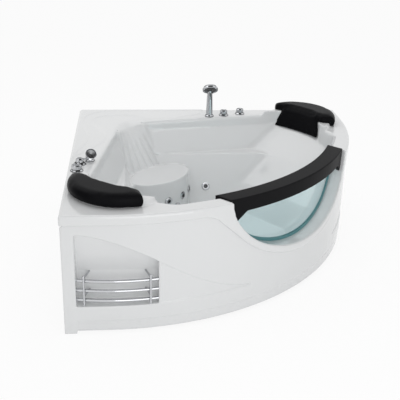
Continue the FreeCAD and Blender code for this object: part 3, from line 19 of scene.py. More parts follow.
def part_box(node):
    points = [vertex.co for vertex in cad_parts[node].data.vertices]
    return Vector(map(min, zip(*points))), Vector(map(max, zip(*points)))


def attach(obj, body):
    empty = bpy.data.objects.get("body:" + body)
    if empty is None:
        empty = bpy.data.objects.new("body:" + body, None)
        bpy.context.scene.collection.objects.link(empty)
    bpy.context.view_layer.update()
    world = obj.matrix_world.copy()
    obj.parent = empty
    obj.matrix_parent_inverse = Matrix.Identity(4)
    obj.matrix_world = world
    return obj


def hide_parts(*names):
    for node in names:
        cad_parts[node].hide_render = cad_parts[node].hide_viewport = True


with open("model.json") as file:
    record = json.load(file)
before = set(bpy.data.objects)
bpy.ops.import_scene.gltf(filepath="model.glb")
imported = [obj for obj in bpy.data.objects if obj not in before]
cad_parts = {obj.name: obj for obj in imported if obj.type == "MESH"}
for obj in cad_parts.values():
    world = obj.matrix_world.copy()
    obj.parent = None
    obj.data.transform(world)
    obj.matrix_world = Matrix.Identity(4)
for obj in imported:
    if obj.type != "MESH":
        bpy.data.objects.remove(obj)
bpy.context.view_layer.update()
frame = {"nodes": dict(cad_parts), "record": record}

log = logging.getLogger("corner_bath")

# The bath: half its side, its deck's height, the front arc's centre, the way from the back corner
# to the front, and the body that doesn't move.
HALF = 0.75
DECK = 0.56
ARC_CENTRE = Vector((-0.55, 0.55, 0.0))
DIAGONAL = math.radians(-45)
ROOT = "root"

# Finishes: size of the slow patches, in repeats a metre, and polish of every clear top layer.
PATCH_SCALE = 3.0
COAT_ROUGHNESS = 0.05

# Points nearer than this are one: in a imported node's loose triangles, and in a spun profile.
MERGE = 0.00001
FINE_MERGE = 0.000001


class Pattern(Enum):
    """The small-scale surface that a finish shows."""

    PLAIN = "plain"
    GRAINED = "grained"
    CAST = "cast"


@dataclass(frozen=True)
class Finish:
    """One surface finish of the bath.

    Args:
        name: the material's name
        colour: base colour, linear
        roughness: mean roughness
        spread: how far the roughness strays
        metallic: 1 on bare metal
        coat: weight of the clear top layer
        pattern: kind of small-scale surface
        scale: size of the pattern, in repeats a metre
        relief: height of the pattern, in metres
        shade: how much darker the colour gets in patches
        transmission: 1 on glass
        ior: refractive index
        gloss: strength of the mirror reflection of a non-metal, 0.5 on plain plastic
        edge: brightness of a metal where it turns away; set low on the chrome finishes as a painted
            reflection, darkening their grazing edges as dark surroundings would
    """

    name: str
    colour: tuple[float, float, float]
    roughness: float = 0.3
    spread: float = 0.05
    metallic: float = 0.0
    coat: float = 0.0
    pattern: Pattern = Pattern.PLAIN
    scale: float = 40.0
    relief: float = 0.0
    shade: float = 0.04
    transmission: float = 0.0
    ior: float = 1.5
    gloss: float = 0.5
    edge: float = 1.0


class ShaderGroups:
    """Node groups that several finishes share."""

    def __init__(self) -> None:
        """Build each group once."""
        self.patches = self._patches()
        self.relief = {pattern: self._relief(pattern) for pattern in Pattern}

    @staticmethod
    def _group(
        name: str,
        inputs: list[tuple[str, str, float]],
        outputs: list[tuple[str, str]],
    ) -> bpy.types.NodeTree:
        """Make an empty node group with named sockets.

        Args:
            name: the group's name
            inputs: name, socket type and default of each input
            outputs: name and socket type of each output

        Returns:
            The node tree, with its Group Input and Group Output nodes.
        """
        tree = bpy.data.node_groups.new(name, "ShaderNodeTree")
        for label, kind, value in inputs:
            socket = tree.interface.new_socket(label, in_out="INPUT", socket_type=kind)
            if kind == "NodeSocketFloat":
                socket.default_value = value
        for label, kind in outputs:
            tree.interface.new_socket(label, in_out="OUTPUT", socket_type=kind)
        tree.nodes.new("NodeGroupInput").name = "In"
        tree.nodes.new("NodeGroupOutput").name = "Out"
        return tree

    def _patches(self) -> bpy.types.NodeTree:
        """Slow variation of colour and roughness, as handling and cleaning leave it.

        Returns:
            A group with inputs Colour, Shade, Scale, Roughness, Spread and outputs Colour, Roughness.
        """
        tree = self._group(
            "SurfacePatches",
            [
                ("Colour", "NodeSocketColor", 0),
                ("Shade", "NodeSocketFloat", 0.04),
                ("Scale", "NodeSocketFloat", PATCH_SCALE),
                ("Roughness", "NodeSocketFloat", 0.3),
                ("Spread", "NodeSocketFloat", 0.05),
            ],
            [("Colour", "NodeSocketColor"), ("Roughness", "NodeSocketFloat")],
        )
        nodes, links = tree.nodes, tree.links
        place = nodes.new("ShaderNodeTexCoord")
        noise = nodes.new("ShaderNodeTexNoise")
        noise.inputs["Detail"].default_value = 6
        noise.inputs["Roughness"].default_value = 0.55
        links.new(place.outputs["Object"], noise.inputs["Vector"])
        links.new(nodes["In"].outputs["Scale"], noise.inputs["Scale"])
        dark = nodes.new("ShaderNodeMath")
        dark.operation = "MULTIPLY"
        links.new(noise.outputs["Fac"], dark.inputs[0])
        links.new(nodes["In"].outputs["Shade"], dark.inputs[1])
        keep = nodes.new("ShaderNodeMath")
        keep.operation = "SUBTRACT"
        keep.inputs[0].default_value = 1.0
        links.new(dark.outputs[0], keep.inputs[1])
        tint = nodes.new("ShaderNodeVectorMath")
        tint.operation = "SCALE"
        links.new(nodes["In"].outputs["Colour"], tint.inputs[0])
        links.new(keep.outputs[0], tint.inputs["Scale"])
        links.new(tint.outputs[0], nodes["Out"].inputs["Colour"])
        centred = nodes.new("ShaderNodeMath")
        centred.operation = "SUBTRACT"
        centred.inputs[1].default_value = 0.5
        links.new(noise.outputs["Fac"], centred.inputs[0])
        swing = nodes.new("ShaderNodeMath")
        swing.operation = "MULTIPLY_ADD"
        links.new(centred.outputs[0], swing.inputs[0])
        links.new(nodes["In"].outputs["Spread"], swing.inputs[1])
        links.new(nodes["In"].outputs["Roughness"], swing.inputs[2])
        links.new(swing.outputs[0], nodes["Out"].inputs["Roughness"])
        return tree

    def _relief(self, pattern: Pattern) -> bpy.types.NodeTree:
        """The height of a fine pattern.

        Args:
            pattern: which pattern

        Returns:
            A group with input Scale and output Height.
        """
        tree = self._group("Relief_" + pattern.value, [("Scale", "NodeSocketFloat", 200.0)],
                           [("Height", "NodeSocketFloat")])
        nodes, links = tree.nodes, tree.links
        place = nodes.new("ShaderNodeTexCoord")
        if pattern is Pattern.GRAINED:
            cells = nodes.new("ShaderNodeTexVoronoi")
            cells.feature = "SMOOTH_F1"
            height = cells.outputs["Distance"]
        else:
            cells = nodes.new("ShaderNodeTexNoise")
            cells.inputs["Detail"].default_value = 2 if pattern is Pattern.PLAIN else 8
            height = cells.outputs["Fac"]
        links.new(place.outputs["Object"], cells.inputs["Vector"])
        links.new(nodes["In"].outputs["Scale"], cells.inputs["Scale"])
        links.new(height, nodes["Out"].inputs["Height"])
        return tree


class Palette:
    """All finishes of the bath, each made into a material the first time that it is asked for."""

    FINISHES = {finish.name: finish for finish in (
        Finish("white_acrylic", (0.77, 0.78, 0.785), 0.14, 0.05, coat=0.3,
               scale=6, relief=0.00006, shade=0.03),
        Finish("apron_white", (0.77, 0.78, 0.785), 0.2, 0.06, coat=0.25,
               scale=6, relief=0.00006, shade=0.03),
        Finish("tinted_glass", (0.80, 0.975, 0.995), 0.015, 0.01,
               transmission=1.0, ior=1.35, shade=0.02),
        Finish("window_gasket", (0.10, 0.27, 0.29), 0.3, 0.08,
               pattern=Pattern.CAST, scale=500, relief=0.00003),
        Finish("black_rubber", (0.02, 0.02, 0.021), 0.6, 0.1,
               pattern=Pattern.CAST, scale=500, relief=0.00005, gloss=0.3),
        Finish("black_gloss", (0.011, 0.011, 0.012), 0.4, 0.06,
               pattern=Pattern.CAST, scale=900, relief=0.00003, shade=0.1, ior=1.12, gloss=0.4),
        Finish("pillow_foam", (0.006, 0.006, 0.007), 0.36, 0.08,
               pattern=Pattern.GRAINED, scale=700, relief=0.00006, shade=0.1, ior=1.12, gloss=0.4),
        # The chrome finishes' low edge is a painted reflection: it darkens their grazing edges as dark
        # surroundings would.
        Finish("chrome", (0.6, 0.61, 0.63), 0.09, 0.05, metallic=1.0,
               scale=60, relief=0.00001, edge=0.08),
        Finish("spout_chrome", (0.55, 0.56, 0.58), 0.2, 0.06, metallic=1.0,
               scale=60, relief=0.00001, edge=0.1),
        Finish("spray_face", (0.07, 0.072, 0.075), 0.35, 0.08,
               pattern=Pattern.CAST, scale=600, relief=0.00003, gloss=0.4),
        Finish("jet_insert", (0.10, 0.105, 0.11), 0.25, 0.08, metallic=0.8),
        Finish("zinc_steel", (0.46, 0.47, 0.48), 0.42, 0.16, metallic=0.9,
               pattern=Pattern.CAST, scale=260, relief=0.00004, shade=0.25),
        Finish("grey_pvc", (0.52, 0.53, 0.54), 0.38, 0.08,
               scale=60, relief=0.00004, shade=0.06),
        Finish("pump_black", (0.02, 0.021, 0.022), 0.5, 0.1,
               pattern=Pattern.CAST, scale=350, relief=0.0001),
        Finish("motor_grey", (0.12, 0.14, 0.17), 0.4, 0.1,
               pattern=Pattern.CAST, scale=260, relief=0.00008, shade=0.1),
        Finish("valve_brass", (0.55, 0.42, 0.2), 0.3, 0.1, metallic=1.0,
               pattern=Pattern.CAST, scale=300, relief=0.00005, shade=0.15),
    )}

    def __init__(self) -> None:
        """Build the shared groups and start with no material made."""
        self.groups = ShaderGroups()
        self.made: dict[str, bpy.types.Material] = {}

    def material(self, name: str) -> bpy.types.Material:
        """The material of a finish.

        Args:
            name: key of the finish

        Returns:
            The material, made once.
        """
        if name not in self.made:
            self.made[name] = self._build(self.FINISHES[name])
        return self.made[name]

    def _build(self, finish: Finish) -> bpy.types.Material:
        """Turn a finish into nodes.

        Args:
            finish: the finish

        Returns:
            A new material.
        """
        material = bpy.data.materials.new(finish.name)
        material.use_nodes = True
        nodes, links = material.node_tree.nodes, material.node_tree.links
        shader = nodes["Principled BSDF"]
        patches = nodes.new("ShaderNodeGroup")
        patches.node_tree = self.groups.patches
        patches.inputs["Colour"].default_value = (*finish.colour, 1.0)
        patches.inputs["Shade"].default_value = finish.shade
        patches.inputs["Scale"].default_value = PATCH_SCALE
        patches.inputs["Roughness"].default_value = finish.roughness
        patches.inputs["Spread"].default_value = finish.spread
        links.new(patches.outputs["Colour"], shader.inputs["Base Color"])
        links.new(patches.outputs["Roughness"], shader.inputs["Roughness"])
        shader.inputs["Metallic"].default_value = finish.metallic
        shader.inputs["Coat Weight"].default_value = finish.coat
        shader.inputs["Coat Roughness"].default_value = COAT_ROUGHNESS
        shader.inputs["Transmission Weight"].default_value = finish.transmission
        shader.inputs["IOR"].default_value = finish.ior
        shader.inputs["Specular IOR Level"].default_value = finish.gloss
        # Specular Tint sets how bright a metal stays at grazing angles; on the chrome it is low, a
        # painted reflection of dark surroundings.
        shader.inputs["Specular Tint"].default_value = (finish.edge, finish.edge, finish.edge, 1.0)
        if finish.relief:
            relief = nodes.new("ShaderNodeGroup")
            relief.node_tree = self.groups.relief[finish.pattern]
            relief.inputs["Scale"].default_value = finish.scale
            bump = nodes.new("ShaderNodeBump")
            bump.inputs["Distance"].default_value = finish.relief
            links.new(relief.outputs["Height"], bump.inputs["Height"])
            links.new(bump.outputs["Normal"], shader.inputs["Normal"])
        return material

    def dress(self, piece: bpy.types.Object, name: str) -> None:
        """Give a piece its finish.

        Args:
            piece: the object
            name: key of the finish
        """
        piece.data.materials.clear()
        piece.data.materials.append(self.material(name))


def mesh_object(name: str, shape: bmesh.types.BMesh) -> bpy.types.Object:
    """Turn a bmesh into an object of the scene, shaded smooth.

    Args:
        name: the piece's name
        shape: the finished bmesh, freed here

    Returns:
        The new object, at the origin.
    """
    mesh = bpy.data.meshes.new(name)
    for face in shape.faces:
        face.smooth = True
    shape.to_mesh(mesh)
    shape.free()
    piece = bpy.data.objects.new(name, mesh)
    bpy.context.scene.collection.objects.link(piece)
    return piece


def applied(piece: bpy.types.Object) -> None:
    """Bake a piece's modifiers into its mesh.

    Args:
        piece: the object
    """
    graph = bpy.context.evaluated_depsgraph_get()
    baked = bpy.data.meshes.new_from_object(piece.evaluated_get(graph))
    piece.modifiers.clear()
    old = piece.data
    piece.data = baked
    bpy.data.meshes.remove(old)


@dataclass
class CarriedNodes:
    """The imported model's own pieces that keep their shape and get a finish.

    Args:
        palette: all finishes
        own_finish: nodes whose finish isn't their slot's
    """

    palette: Palette
    own_finish: dict[str, str] = field(default_factory=lambda: {"window_seal": "window_gasket"})

    def dress(self) -> None:
        """Dress each node by the record's slot, apart from the few with a finish of their own."""
        for part in frame["record"]["subparts"]:
            node = frame["nodes"][part["node"]]
            self.palette.dress(node, self.own_finish.get(part["node"], part["material_slot"]))


def node_copy(node: str, name: str) -> bpy.types.Object:
    """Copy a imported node's mesh into a piece of its own, with its loose triangles merged.

    Args:
        node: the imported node
        name: the new piece's name

    Returns:
        The new piece, closed where the node is.
    """
    shape = bmesh.new()
    shape.from_mesh(frame["nodes"][node].data)
    bmesh.ops.remove_doubles(shape, verts=shape.verts, dist=MERGE)
    return mesh_object(name, shape)


def remeshed(piece: bpy.types.Object, voxel: float) -> None:
    """Give a closed piece an even grid.

    Args:
        piece: the object
        voxel: side of a grid cell
    """
    grid = piece.modifiers.new("Grid", "REMESH")
    grid.mode = "VOXEL"
    grid.voxel_size = voxel
    applied(piece)


def softened(
    piece: bpy.types.Object,
    passes: int,
    weight: Callable[[Vector], float] | None = None,
) -> None:
    """Round a piece's edges.

    Args:
        piece: the object
        passes: rounds of smoothing
        weight: how much each point takes part, from 0 to 1; everything where it is left out
    """
    soften = piece.modifiers.new("Soften", "SMOOTH")
    soften.factor = 0.5
    soften.iterations = passes
    if weight is not None:
        zone = piece.vertex_groups.new(name="zone")
        for vertex in piece.data.vertices:
            share = weight(vertex.co)
            if share > 0:
                zone.add([vertex.index], share, "REPLACE")
        soften.vertex_group = zone.name
    applied(piece)
    piece.vertex_groups.clear()


def thinned(piece: bpy.types.Object, triangles: int) -> None:
    """Bring a piece down to a number of triangles and shade it smooth.

    Args:
        piece: the object
        triangles: the most that it may have
    """
    count = sum(len(face.vertices) - 2 for face in piece.data.polygons)
    if count > triangles:
        fewer = piece.modifiers.new("Fewer", "DECIMATE")
        fewer.ratio = triangles / count
        applied(piece)
    for face in piece.data.polygons:
        face.use_smooth = True


def ramp(value: float, low: float, high: float) -> float:
    """A smooth step.

    Args:
        value: where to read it
        low: where it leaves 0
        high: where it reaches 1

    Returns:
        A share from 0 to 1.
    """
    share = min(1.0, max(0.0, (value - low) / (high - low)))
    return share * share * (3 - 2 * share)


def revolved(
    name: str,
    profiles: list[list[tuple[float, float]]],
    places: list[Matrix],
    steps: int = 48,
) -> bpy.types.Object:
    """Spin closed profiles round their own axes into one piece.

    Args:
        name: the piece's name
        profiles: radius and height of each profile's corners
        places: where each profile's axis stands
        steps: sides of each ring

    Returns:
        The piece, with its faces pointing out.
    """
    shape = bmesh.new()
    for profile, place in zip(profiles, places):
        corners = [shape.verts.new(place @ Vector((radius, 0.0, height)))
                   for radius, height in profile]
        sides = [shape.edges.new(pair) for pair in zip(corners, corners[1:] + corners[:1])]
        bmesh.ops.spin(shape, geom=corners + sides, cent=place.translation,
                       axis=place.to_3x3() @ Vector((0, 0, 1)),
                       angle=math.tau, steps=steps, use_merge=True)
    bmesh.ops.remove_doubles(shape, verts=shape.verts, dist=FINE_MERGE)
    bmesh.ops.recalc_face_normals(shape, faces=shape.faces)
    return mesh_object(name, shape)


@dataclass
class TubShell:
    """The acrylic moulding, with the soft edges that vacuum forming leaves.

    Args:
        palette: all finishes
        voxel: grid of the remesh
        passes: rounds of smoothing everywhere
        basin_passes: more rounds below the deck
        cascade_passes: more rounds where the ribs of the back corner run out into the deck
        edge: depths below the deck where the basin's rounds set in and are full
        cascade_rise: heights where the cascade's rounds set in and are full
        cascade_side: distances from the diagonal where they begin and cease to fade
        cascade_place: middle of their zone, from the front arc's centre
        cascade_reach: distances from that middle where they begin and cease to fade
        crest_half: half the width of the strip that joins the ribs to the deck
        crest_flat: half the width of its straight middle
        crest_start: its upper edge, from the front arc's centre
        crest_run: how far it reaches towards the basin
        crest_top: its upper edge below the deck
        crest_drop: how far it falls towards the basin
        crest_thick: its thickness
        triangles: size of the finished mesh
    """

    palette: Palette
    voxel: float = 0.004
    passes: int = 3
    basin_passes: int = 12
    cascade_passes: int = 70
    edge: tuple[float, float] = (0.001, 0.008)
    cascade_rise: tuple[float, float] = (0.44, 0.49)
    cascade_side: tuple[float, float] = (0.15, 0.21)
    cascade_place: float = 0.13
    cascade_reach: tuple[float, float] = (0.1, 0.16)
    crest_half: float = 0.09
    crest_flat: float = 0.0485
    crest_start: float = 0.070
    crest_run: float = 0.035
    crest_top: float = 0.0015
    crest_drop: float = 0.0135
    crest_thick: float = 0.008
    triangles: int = 190000

    def build(self) -> None:
        """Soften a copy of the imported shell."""
        piece = node_copy("tub_shell", "shell_moulding")
        self.close_crest(piece)
        remeshed(piece, self.voxel)
        softened(piece, self.passes)
        softened(piece, self.basin_passes, self.by_depth)
        softened(piece, self.cascade_passes, self.by_cascade)
        thinned(piece, self.triangles)
        self.palette.dress(piece, "white_acrylic")
        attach(piece, ROOT)
        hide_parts("tub_shell")
        log.info("shell_moulding: %d faces", len(piece.data.polygons))

    def close_crest(self, piece: bpy.types.Object) -> None:
        """Join the deck's edge to the ribs of the back corner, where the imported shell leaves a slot.

        Args:
            piece: the shell's copy, which the strip is added to; the remesh merges the two
        """
        strip = bmesh.new()
        bmesh.ops.create_grid(strip, x_segments=24, y_segments=4, size=1.0)
        along = Vector((math.cos(DIAGONAL), math.sin(DIAGONAL), 0))
        across = Vector((-along.y, along.x, 0))
        for vertex in strip.verts:
            side = vertex.co.x * self.crest_half
            share = (vertex.co.y + 1) / 2
            out = self.crest_start + self.crest_run * share + max(0.0, abs(side) - self.crest_flat)
            height = DECK - self.crest_top - self.crest_drop * share
            vertex.co = Vector((ARC_CENTRE.x, ARC_CENTRE.y, height)) + along * out + across * side
        made = bmesh.ops.extrude_face_region(strip, geom=strip.faces[:])
        lower = [item for item in made["geom"] if isinstance(item, bmesh.types.BMVert)]
        bmesh.ops.translate(strip, vec=(0, 0, -self.crest_thick), verts=lower)
        bmesh.ops.recalc_face_normals(strip, faces=strip.faces)
        strip.from_mesh(piece.data)
        for face in strip.faces:
            face.smooth = True
        strip.to_mesh(piece.data)
        strip.free()

    def by_depth(self, point: Vector) -> float:
        """How far a point is below the deck.

        Args:
            point: a point of the shell

        Returns:
            1 in the basin, 0 on the deck.
        """
        start, full = self.edge
        return 1 - ramp(point.z, DECK - full, DECK - start)

    def by_cascade(self, point: Vector) -> float:
        """How near a point is to the upper end of the back corner's ribs.

        Args:
            point: a point of the shell

        Returns:
            1 there, falling to 0 round it.
        """
        off = point - ARC_CENTRE
        out = off.x * math.cos(DIAGONAL) + off.y * math.sin(DIAGONAL)
        across = abs(off.y * math.cos(DIAGONAL) - off.x * math.sin(DIAGONAL))
        beside = 1 - ramp(across, *self.cascade_side)
        beyond = 1 - ramp(abs(out - self.cascade_place), *self.cascade_reach)
        return ramp(point.z, *self.cascade_rise) * beside * beyond


@dataclass
class FrontApron:
    """The curved panel: softened edges, and a toe strip that is set back between the two posts.

    Args:
        palette: all finishes
        voxel: grid of the remesh
        passes: rounds of smoothing
        gap: bath's outline to the panel's face
        end: the panel's ends from the bath's centre
        end_shift: how much nearer to the walls they go under the lip
        end_top: where that shift runs out
        end_fade: height over which it does
        end_blend: how far outside a post's inner edge the shift sets in
        toe_top: upper edge of the toe strip
        toe_depth: how far the toe strip is set back
        toe_edge: half the width of the slope round the toe strip
        face: depths behind the panel's face where the setback begins and ceases to fade
        post: width of the posts at the ends
        triangles: size of the finished mesh
    """

    palette: Palette
    voxel: float = 0.0035
    passes: int = 2
    gap: float = 0.0085
    end: float = 0.735
    end_shift: float = 0.011
    end_top: float = 0.512
    end_fade: float = 0.005
    end_blend: float = 0.012
    toe_top: float = 0.064
    toe_depth: float = 0.003
    toe_edge: float = 0.002
    face: tuple[float, float] = (0.0015, 0.004)
    post: float = 0.058
    triangles: int = 150000

    def build(self) -> None:
        """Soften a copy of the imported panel."""
        piece = node_copy("front_apron", "apron_panel")
        remeshed(piece, self.voxel)
        softened(piece, self.passes)
        for vertex in piece.data.vertices:
            vertex.co = self.set_back(self.widened(vertex.co))
        thinned(piece, self.triangles)
        self.palette.dress(piece, "apron_white")
        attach(piece, ROOT)
        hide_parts("front_apron")
        log.info("apron_panel: %d faces", len(piece.data.polygons))

    def widened(self, point: Vector) -> Vector:
        """Bring the panel's two ends nearer to the room walls, below the lip.

        Args:
            point: a point of the panel

        Returns:
            The point, moved along its wall if it is on a post.
        """
        share = 1 - ramp(point.z, self.end_top - self.end_fade, self.end_top)
        inner = self.end - self.post + self.end_blend
        left = ramp(-point.x, inner, self.end) * share
        right = ramp(point.y, inner, self.end) * share
        return point + Vector((-left, right, 0)) * self.end_shift

    def set_back(self, point: Vector) -> Vector:
        """Press the toe strip into the outer face.

        Args:
            point: a point of the panel

        Returns:
            The point, moved in if it is on the strip's outer face.
        """
        off = point - ARC_CENTRE
        if off.x < 0:
            depth, inward = point.y + HALF, Vector((0, 1, 0))
        elif off.y > 0:
            depth, inward = HALF - point.x, Vector((-1, 0, 0))
        else:
            radius = math.hypot(off.x, off.y)
            depth = HALF - ARC_CENTRE.x - radius
            inward = Vector((-off.x, -off.y, 0)) / radius
        outer, inner = self.face
        face = 1 - ramp(depth, self.gap + outer, self.gap + inner)
        edge, side = self.toe_edge, self.post - HALF
        share = 1 - ramp(point.z, self.toe_top - edge, self.toe_top + edge)
        share *= ramp(point.x, side - edge, side + edge)
        share *= ramp(-point.y, side - edge, side + edge)
        return point + inward * (self.toe_depth * share * face)


@dataclass
class Handrail:
    """The black rail over the window, with its moulded edges rounded.

    Args:
        palette: all finishes
        voxel: grid of the remesh
        passes: rounds of smoothing
        triangles: size of the finished mesh
    """

    palette: Palette
    voxel: float = 0.0025
    passes: int = 6
    triangles: int = 60000

    def build(self) -> None:
        """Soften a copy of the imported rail."""
        piece = node_copy("handrail", "window_handrail")
        remeshed(piece, self.voxel)
        softened(piece, self.passes)
        thinned(piece, self.triangles)
        self.palette.dress(piece, "black_gloss")
        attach(piece, ROOT)
        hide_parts("handrail")
        log.info("window_handrail: %d faces", len(piece.data.polygons))


@dataclass
class Pillows:
    """The two head cushions, filled by cloth pressure and mirrored over the bath's diagonal.

    Args:
        palette: all finishes
        voxel: grid of the remesh
        first_passes: rounds of smoothing before the filling
        last_passes: rounds of smoothing after it
        shrink: how much smaller each starts
        pressure: filling pressure
        cap: the most that a point moves
        frames: steps of the cloth
        fill: how full each is; not used
        leg_stretch: how much longer the part inside the basin hangs, as a share
        triangles: size of each finished mesh
    """

    palette: Palette
    voxel: float = 0.005
    first_passes: int = 4
    last_passes: int = 10
    shrink: float = 0.003
    pressure: float = 3.0
    cap: float = 0.005
    frames: int = 20
    fill: float = 0.9
    leg_stretch: float = 0.15
    triangles: int = 60000

    def build(self) -> None:
        """Make the left cushion and mirror it."""
        left = node_copy("pillow_left", "cushion_left")
        remeshed(left, self.voxel)
        softened(left, self.first_passes)
        self.swell(left)
        softened(left, self.last_passes)
        for vertex in left.data.vertices:
            vertex.co.z -= max(0.0, DECK - vertex.co.z) * self.leg_stretch
        finer = left.modifiers.new("Finer", "SUBSURF")
        finer.levels = finer.render_levels = 1
        applied(left)
        thinned(left, self.triangles)
        shape = bmesh.new()
        shape.from_mesh(left.data)
        mirror = Matrix(((0, -1, 0, 0), (-1, 0, 0, 0), (0, 0, 1, 0), (0, 0, 0, 1)))
        bmesh.ops.transform(shape, matrix=mirror, verts=shape.verts)
        bmesh.ops.reverse_faces(shape, faces=shape.faces)
        right = mesh_object("cushion_right", shape)
        for piece, node in ((left, "pillow_left"), (right, "pillow_right")):
            self.palette.dress(piece, "pillow_foam")
            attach(piece, ROOT)
            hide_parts(node)
            log.info("%s: %d faces", piece.name, len(piece.data.polygons))

    def swell(self, piece: bpy.types.Object) -> None:
        """Fill a cushion with pressure and keep it near its own shape.

        Args:
            piece: the cushion, evenly meshed
        """
        for vertex, normal in [(vertex, vertex.normal.copy()) for vertex in piece.data.vertices]:
            vertex.co -= normal * self.shrink
        places = [vertex.co.copy() for vertex in piece.data.vertices]
        cloth = piece.modifiers.new("Fill", "CLOTH")
        cloth.settings.use_pressure = True
        cloth.settings.uniform_pressure_force = self.pressure
        cloth.settings.effector_weights.gravity = 0.0
        scene = bpy.context.scene
        for number in range(1, self.frames + 1):
            scene.frame_set(number)
        applied(piece)
        scene.frame_set(1)
        for vertex, place in zip(piece.data.vertices, places):
            move = vertex.co - place
            if move.length > self.cap:
                vertex.co = place + move * (self.cap / move.length)


@dataclass
class DeckTrim:
    """Thin black rings under the deck fittings and between each control's base and its knob.

    Args:
        palette: all finishes
        proud: how far a fitting's ring shows past it
        tuck: how far that ring reaches under it
        thick: how thick a ring is
        controls: names of the controls, each with a base and something that turns on it
        fittings: nodes that stand on the deck
        under_knob: lower face of a control's ring above the deck
        knob_bore: inner radius of that ring
        knob_inset: how far it stays inside the base's edge
    """

    palette: Palette
    proud: float = 0.0014
    tuck: float = 0.0002
    thick: float = 0.0012
    controls: tuple[str, ...] = ("air_control_inner", "air_control_outer", "mixer", "diverter")
    fittings: tuple[str, ...] = ("air_control_inner_base", "air_control_outer_base",
                                 "mixer_base", "diverter_base", "shower_collar", "spout_foot")
    under_knob: float = 0.0078
    knob_bore: float = 0.006
    knob_inset: float = 0.0056

    def ring(self, name: str, base: str, low: float, inner: float, outer: float) -> None:
        """Add one ring round the axis of a fitting.

        Args:
            name: the ring's name
            base: node on whose axis it sits
            low: its lower face above the deck
            inner: its inner radius
            outer: its outer radius
        """
        lowest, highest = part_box(base)
        centre = (Vector(lowest) + Vector(highest)) / 2
        half = self.thick / 2
        profile = [(inner, low), (outer - half / 2, low), (outer, low + half),
                   (outer - half / 2, low + self.thick), (inner, low + self.thick)]
        piece = revolved(name, [profile], [Matrix.Translation((centre.x, centre.y, DECK))])
        self.palette.dress(piece, "black_rubber")
        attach(piece, ROOT)
        log.info("%s: %d faces", name, len(piece.data.polygons))

    def build(self) -> None:
        """Make a ring under each fitting and one under each knob."""
        for base in self.fittings:
            lowest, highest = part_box(base)
            flange = (highest[0] - lowest[0]) / 2
            self.ring(base + "_gasket", base, 0.0, flange - self.tuck, flange + self.proud)
        for control in self.controls:
            lowest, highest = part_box(control + "_base")
            flange = (highest[0] - lowest[0]) / 2
            self.ring(control + "_ring", control + "_base", self.under_knob,
                      self.knob_bore, flange - self.knob_inset)


@dataclass
class SprayFace:
    """The dark face of the hand shower, with rings of small nozzles.

    Args:
        palette: all finishes
        radius: the face's radius
        rings: radius and number of nozzles of each ring
        nozzle: radius of one nozzle
        nozzle_taper: radius of its tip, as a share of that
        nozzle_length: how far its tip stands out of the face
        tilt: lean of the head
        head_forward: the head's centre from the stem's axis, along Y
        head_height: the head's centre above the deck
        face_height: the face from the head's centre, along the head's own axis
        middle: heights of the disc's back and front over the face, on its axis
        rim: inset and height of the disc's rim, from its edge and the face
        sides: sides of each ring
    """

    palette: Palette
    radius: float = 0.0345
    rings: tuple[tuple[float, int], ...] = ((0.0, 1), (0.009, 6), (0.018, 12), (0.027, 18))
    nozzle: float = 0.0013
    nozzle_taper: float = 0.8
    nozzle_length: float = 0.0028
    tilt: float = math.radians(-42)
    head_forward: float = -0.014
    head_height: float = 0.166
    face_height: float = -0.0112
    middle: tuple[float, float] = (0.002, -0.001)
    rim: tuple[tuple[float, float], ...] = ((0.0, 0.001), (0.0, -0.0005), (0.003, -0.0018))
    sides: int = 16

    def build(self) -> None:
        """Spin the face, set the nozzles on it and lean it with the head."""
        lowest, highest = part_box("shower_collar")
        axis = (Vector(lowest) + Vector(highest)) / 2
        head = Matrix.Translation((axis.x, axis.y + self.head_forward, DECK + self.head_height))
        head = head @ Matrix.Rotation(self.tilt, 4, "X")
        face, (back, front) = self.face_height, self.middle
        rim = [(self.radius - inset, face + height) for inset, height in self.rim]
        disc = [(0.0, face + back), *rim, (0.0, face + front)]
        tip = face - self.nozzle_length
        nub = [(0.0, face), (self.nozzle, face), (self.nozzle * self.nozzle_taper, tip), (0.0, tip)]
        profiles, places = [disc], [head]
        for radius, count in self.rings:
            for number in range(count):
                turn = math.tau * number / count
                spot = (radius * math.cos(turn), radius * math.sin(turn), 0)
                profiles.append(nub)
                places.append(head @ Matrix.Translation(spot))
        piece = revolved("spray_face", profiles, places, self.sides)
        self.palette.dress(piece, "spray_face")
        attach(piece, "hand_shower")
        log.info("spray_face: %d faces", len(piece.data.polygons))


Point = tuple[float, float, float]


@dataclass(frozen=True)
class Lamp:
    """One soft square lamp.

    Args:
        name: the lamp's name
        place: where it hangs
        aim: the point that it faces
        size: its side
        power: its power in watts
    """

    name: str
    place: Point
    aim: Point
    size: float
    power: float


@dataclass(frozen=True)
class Card:
    """One card that only polished surfaces see, for the dark bands in the chrome.

    Args:
        name: the card's name
        place: its centre
        aim: the point that it faces
        width: its width
        height: its height
        grey: its own brightness
    """

    name: str
    place: Point
    aim: Point
    width: float
    height: float
    grey: float


LAMPS = (
    Lamp("over", (-0.6, 0.6, 3.4), (0, 0, 0.4), 3.6, 27),
    Lamp("front", (0.6, -3.8, 0.9), (0, 0, 0.3), 2.6, 35),
)
CARDS = (
    Card("card_over", (0.0, -0.6, 2.7), (0, -0.4, 0.4), 2.6, 1.6, 0.03),
    Card("card_left", (-2.4, -0.6, 1.0), (0, -0.6, 0.5), 2.0, 2.0, 0.05),
    Card("card_right", (2.6, 0.2, 1.0), (0, 0.2, 0.5), 2.0, 2.0, 0.05),
)


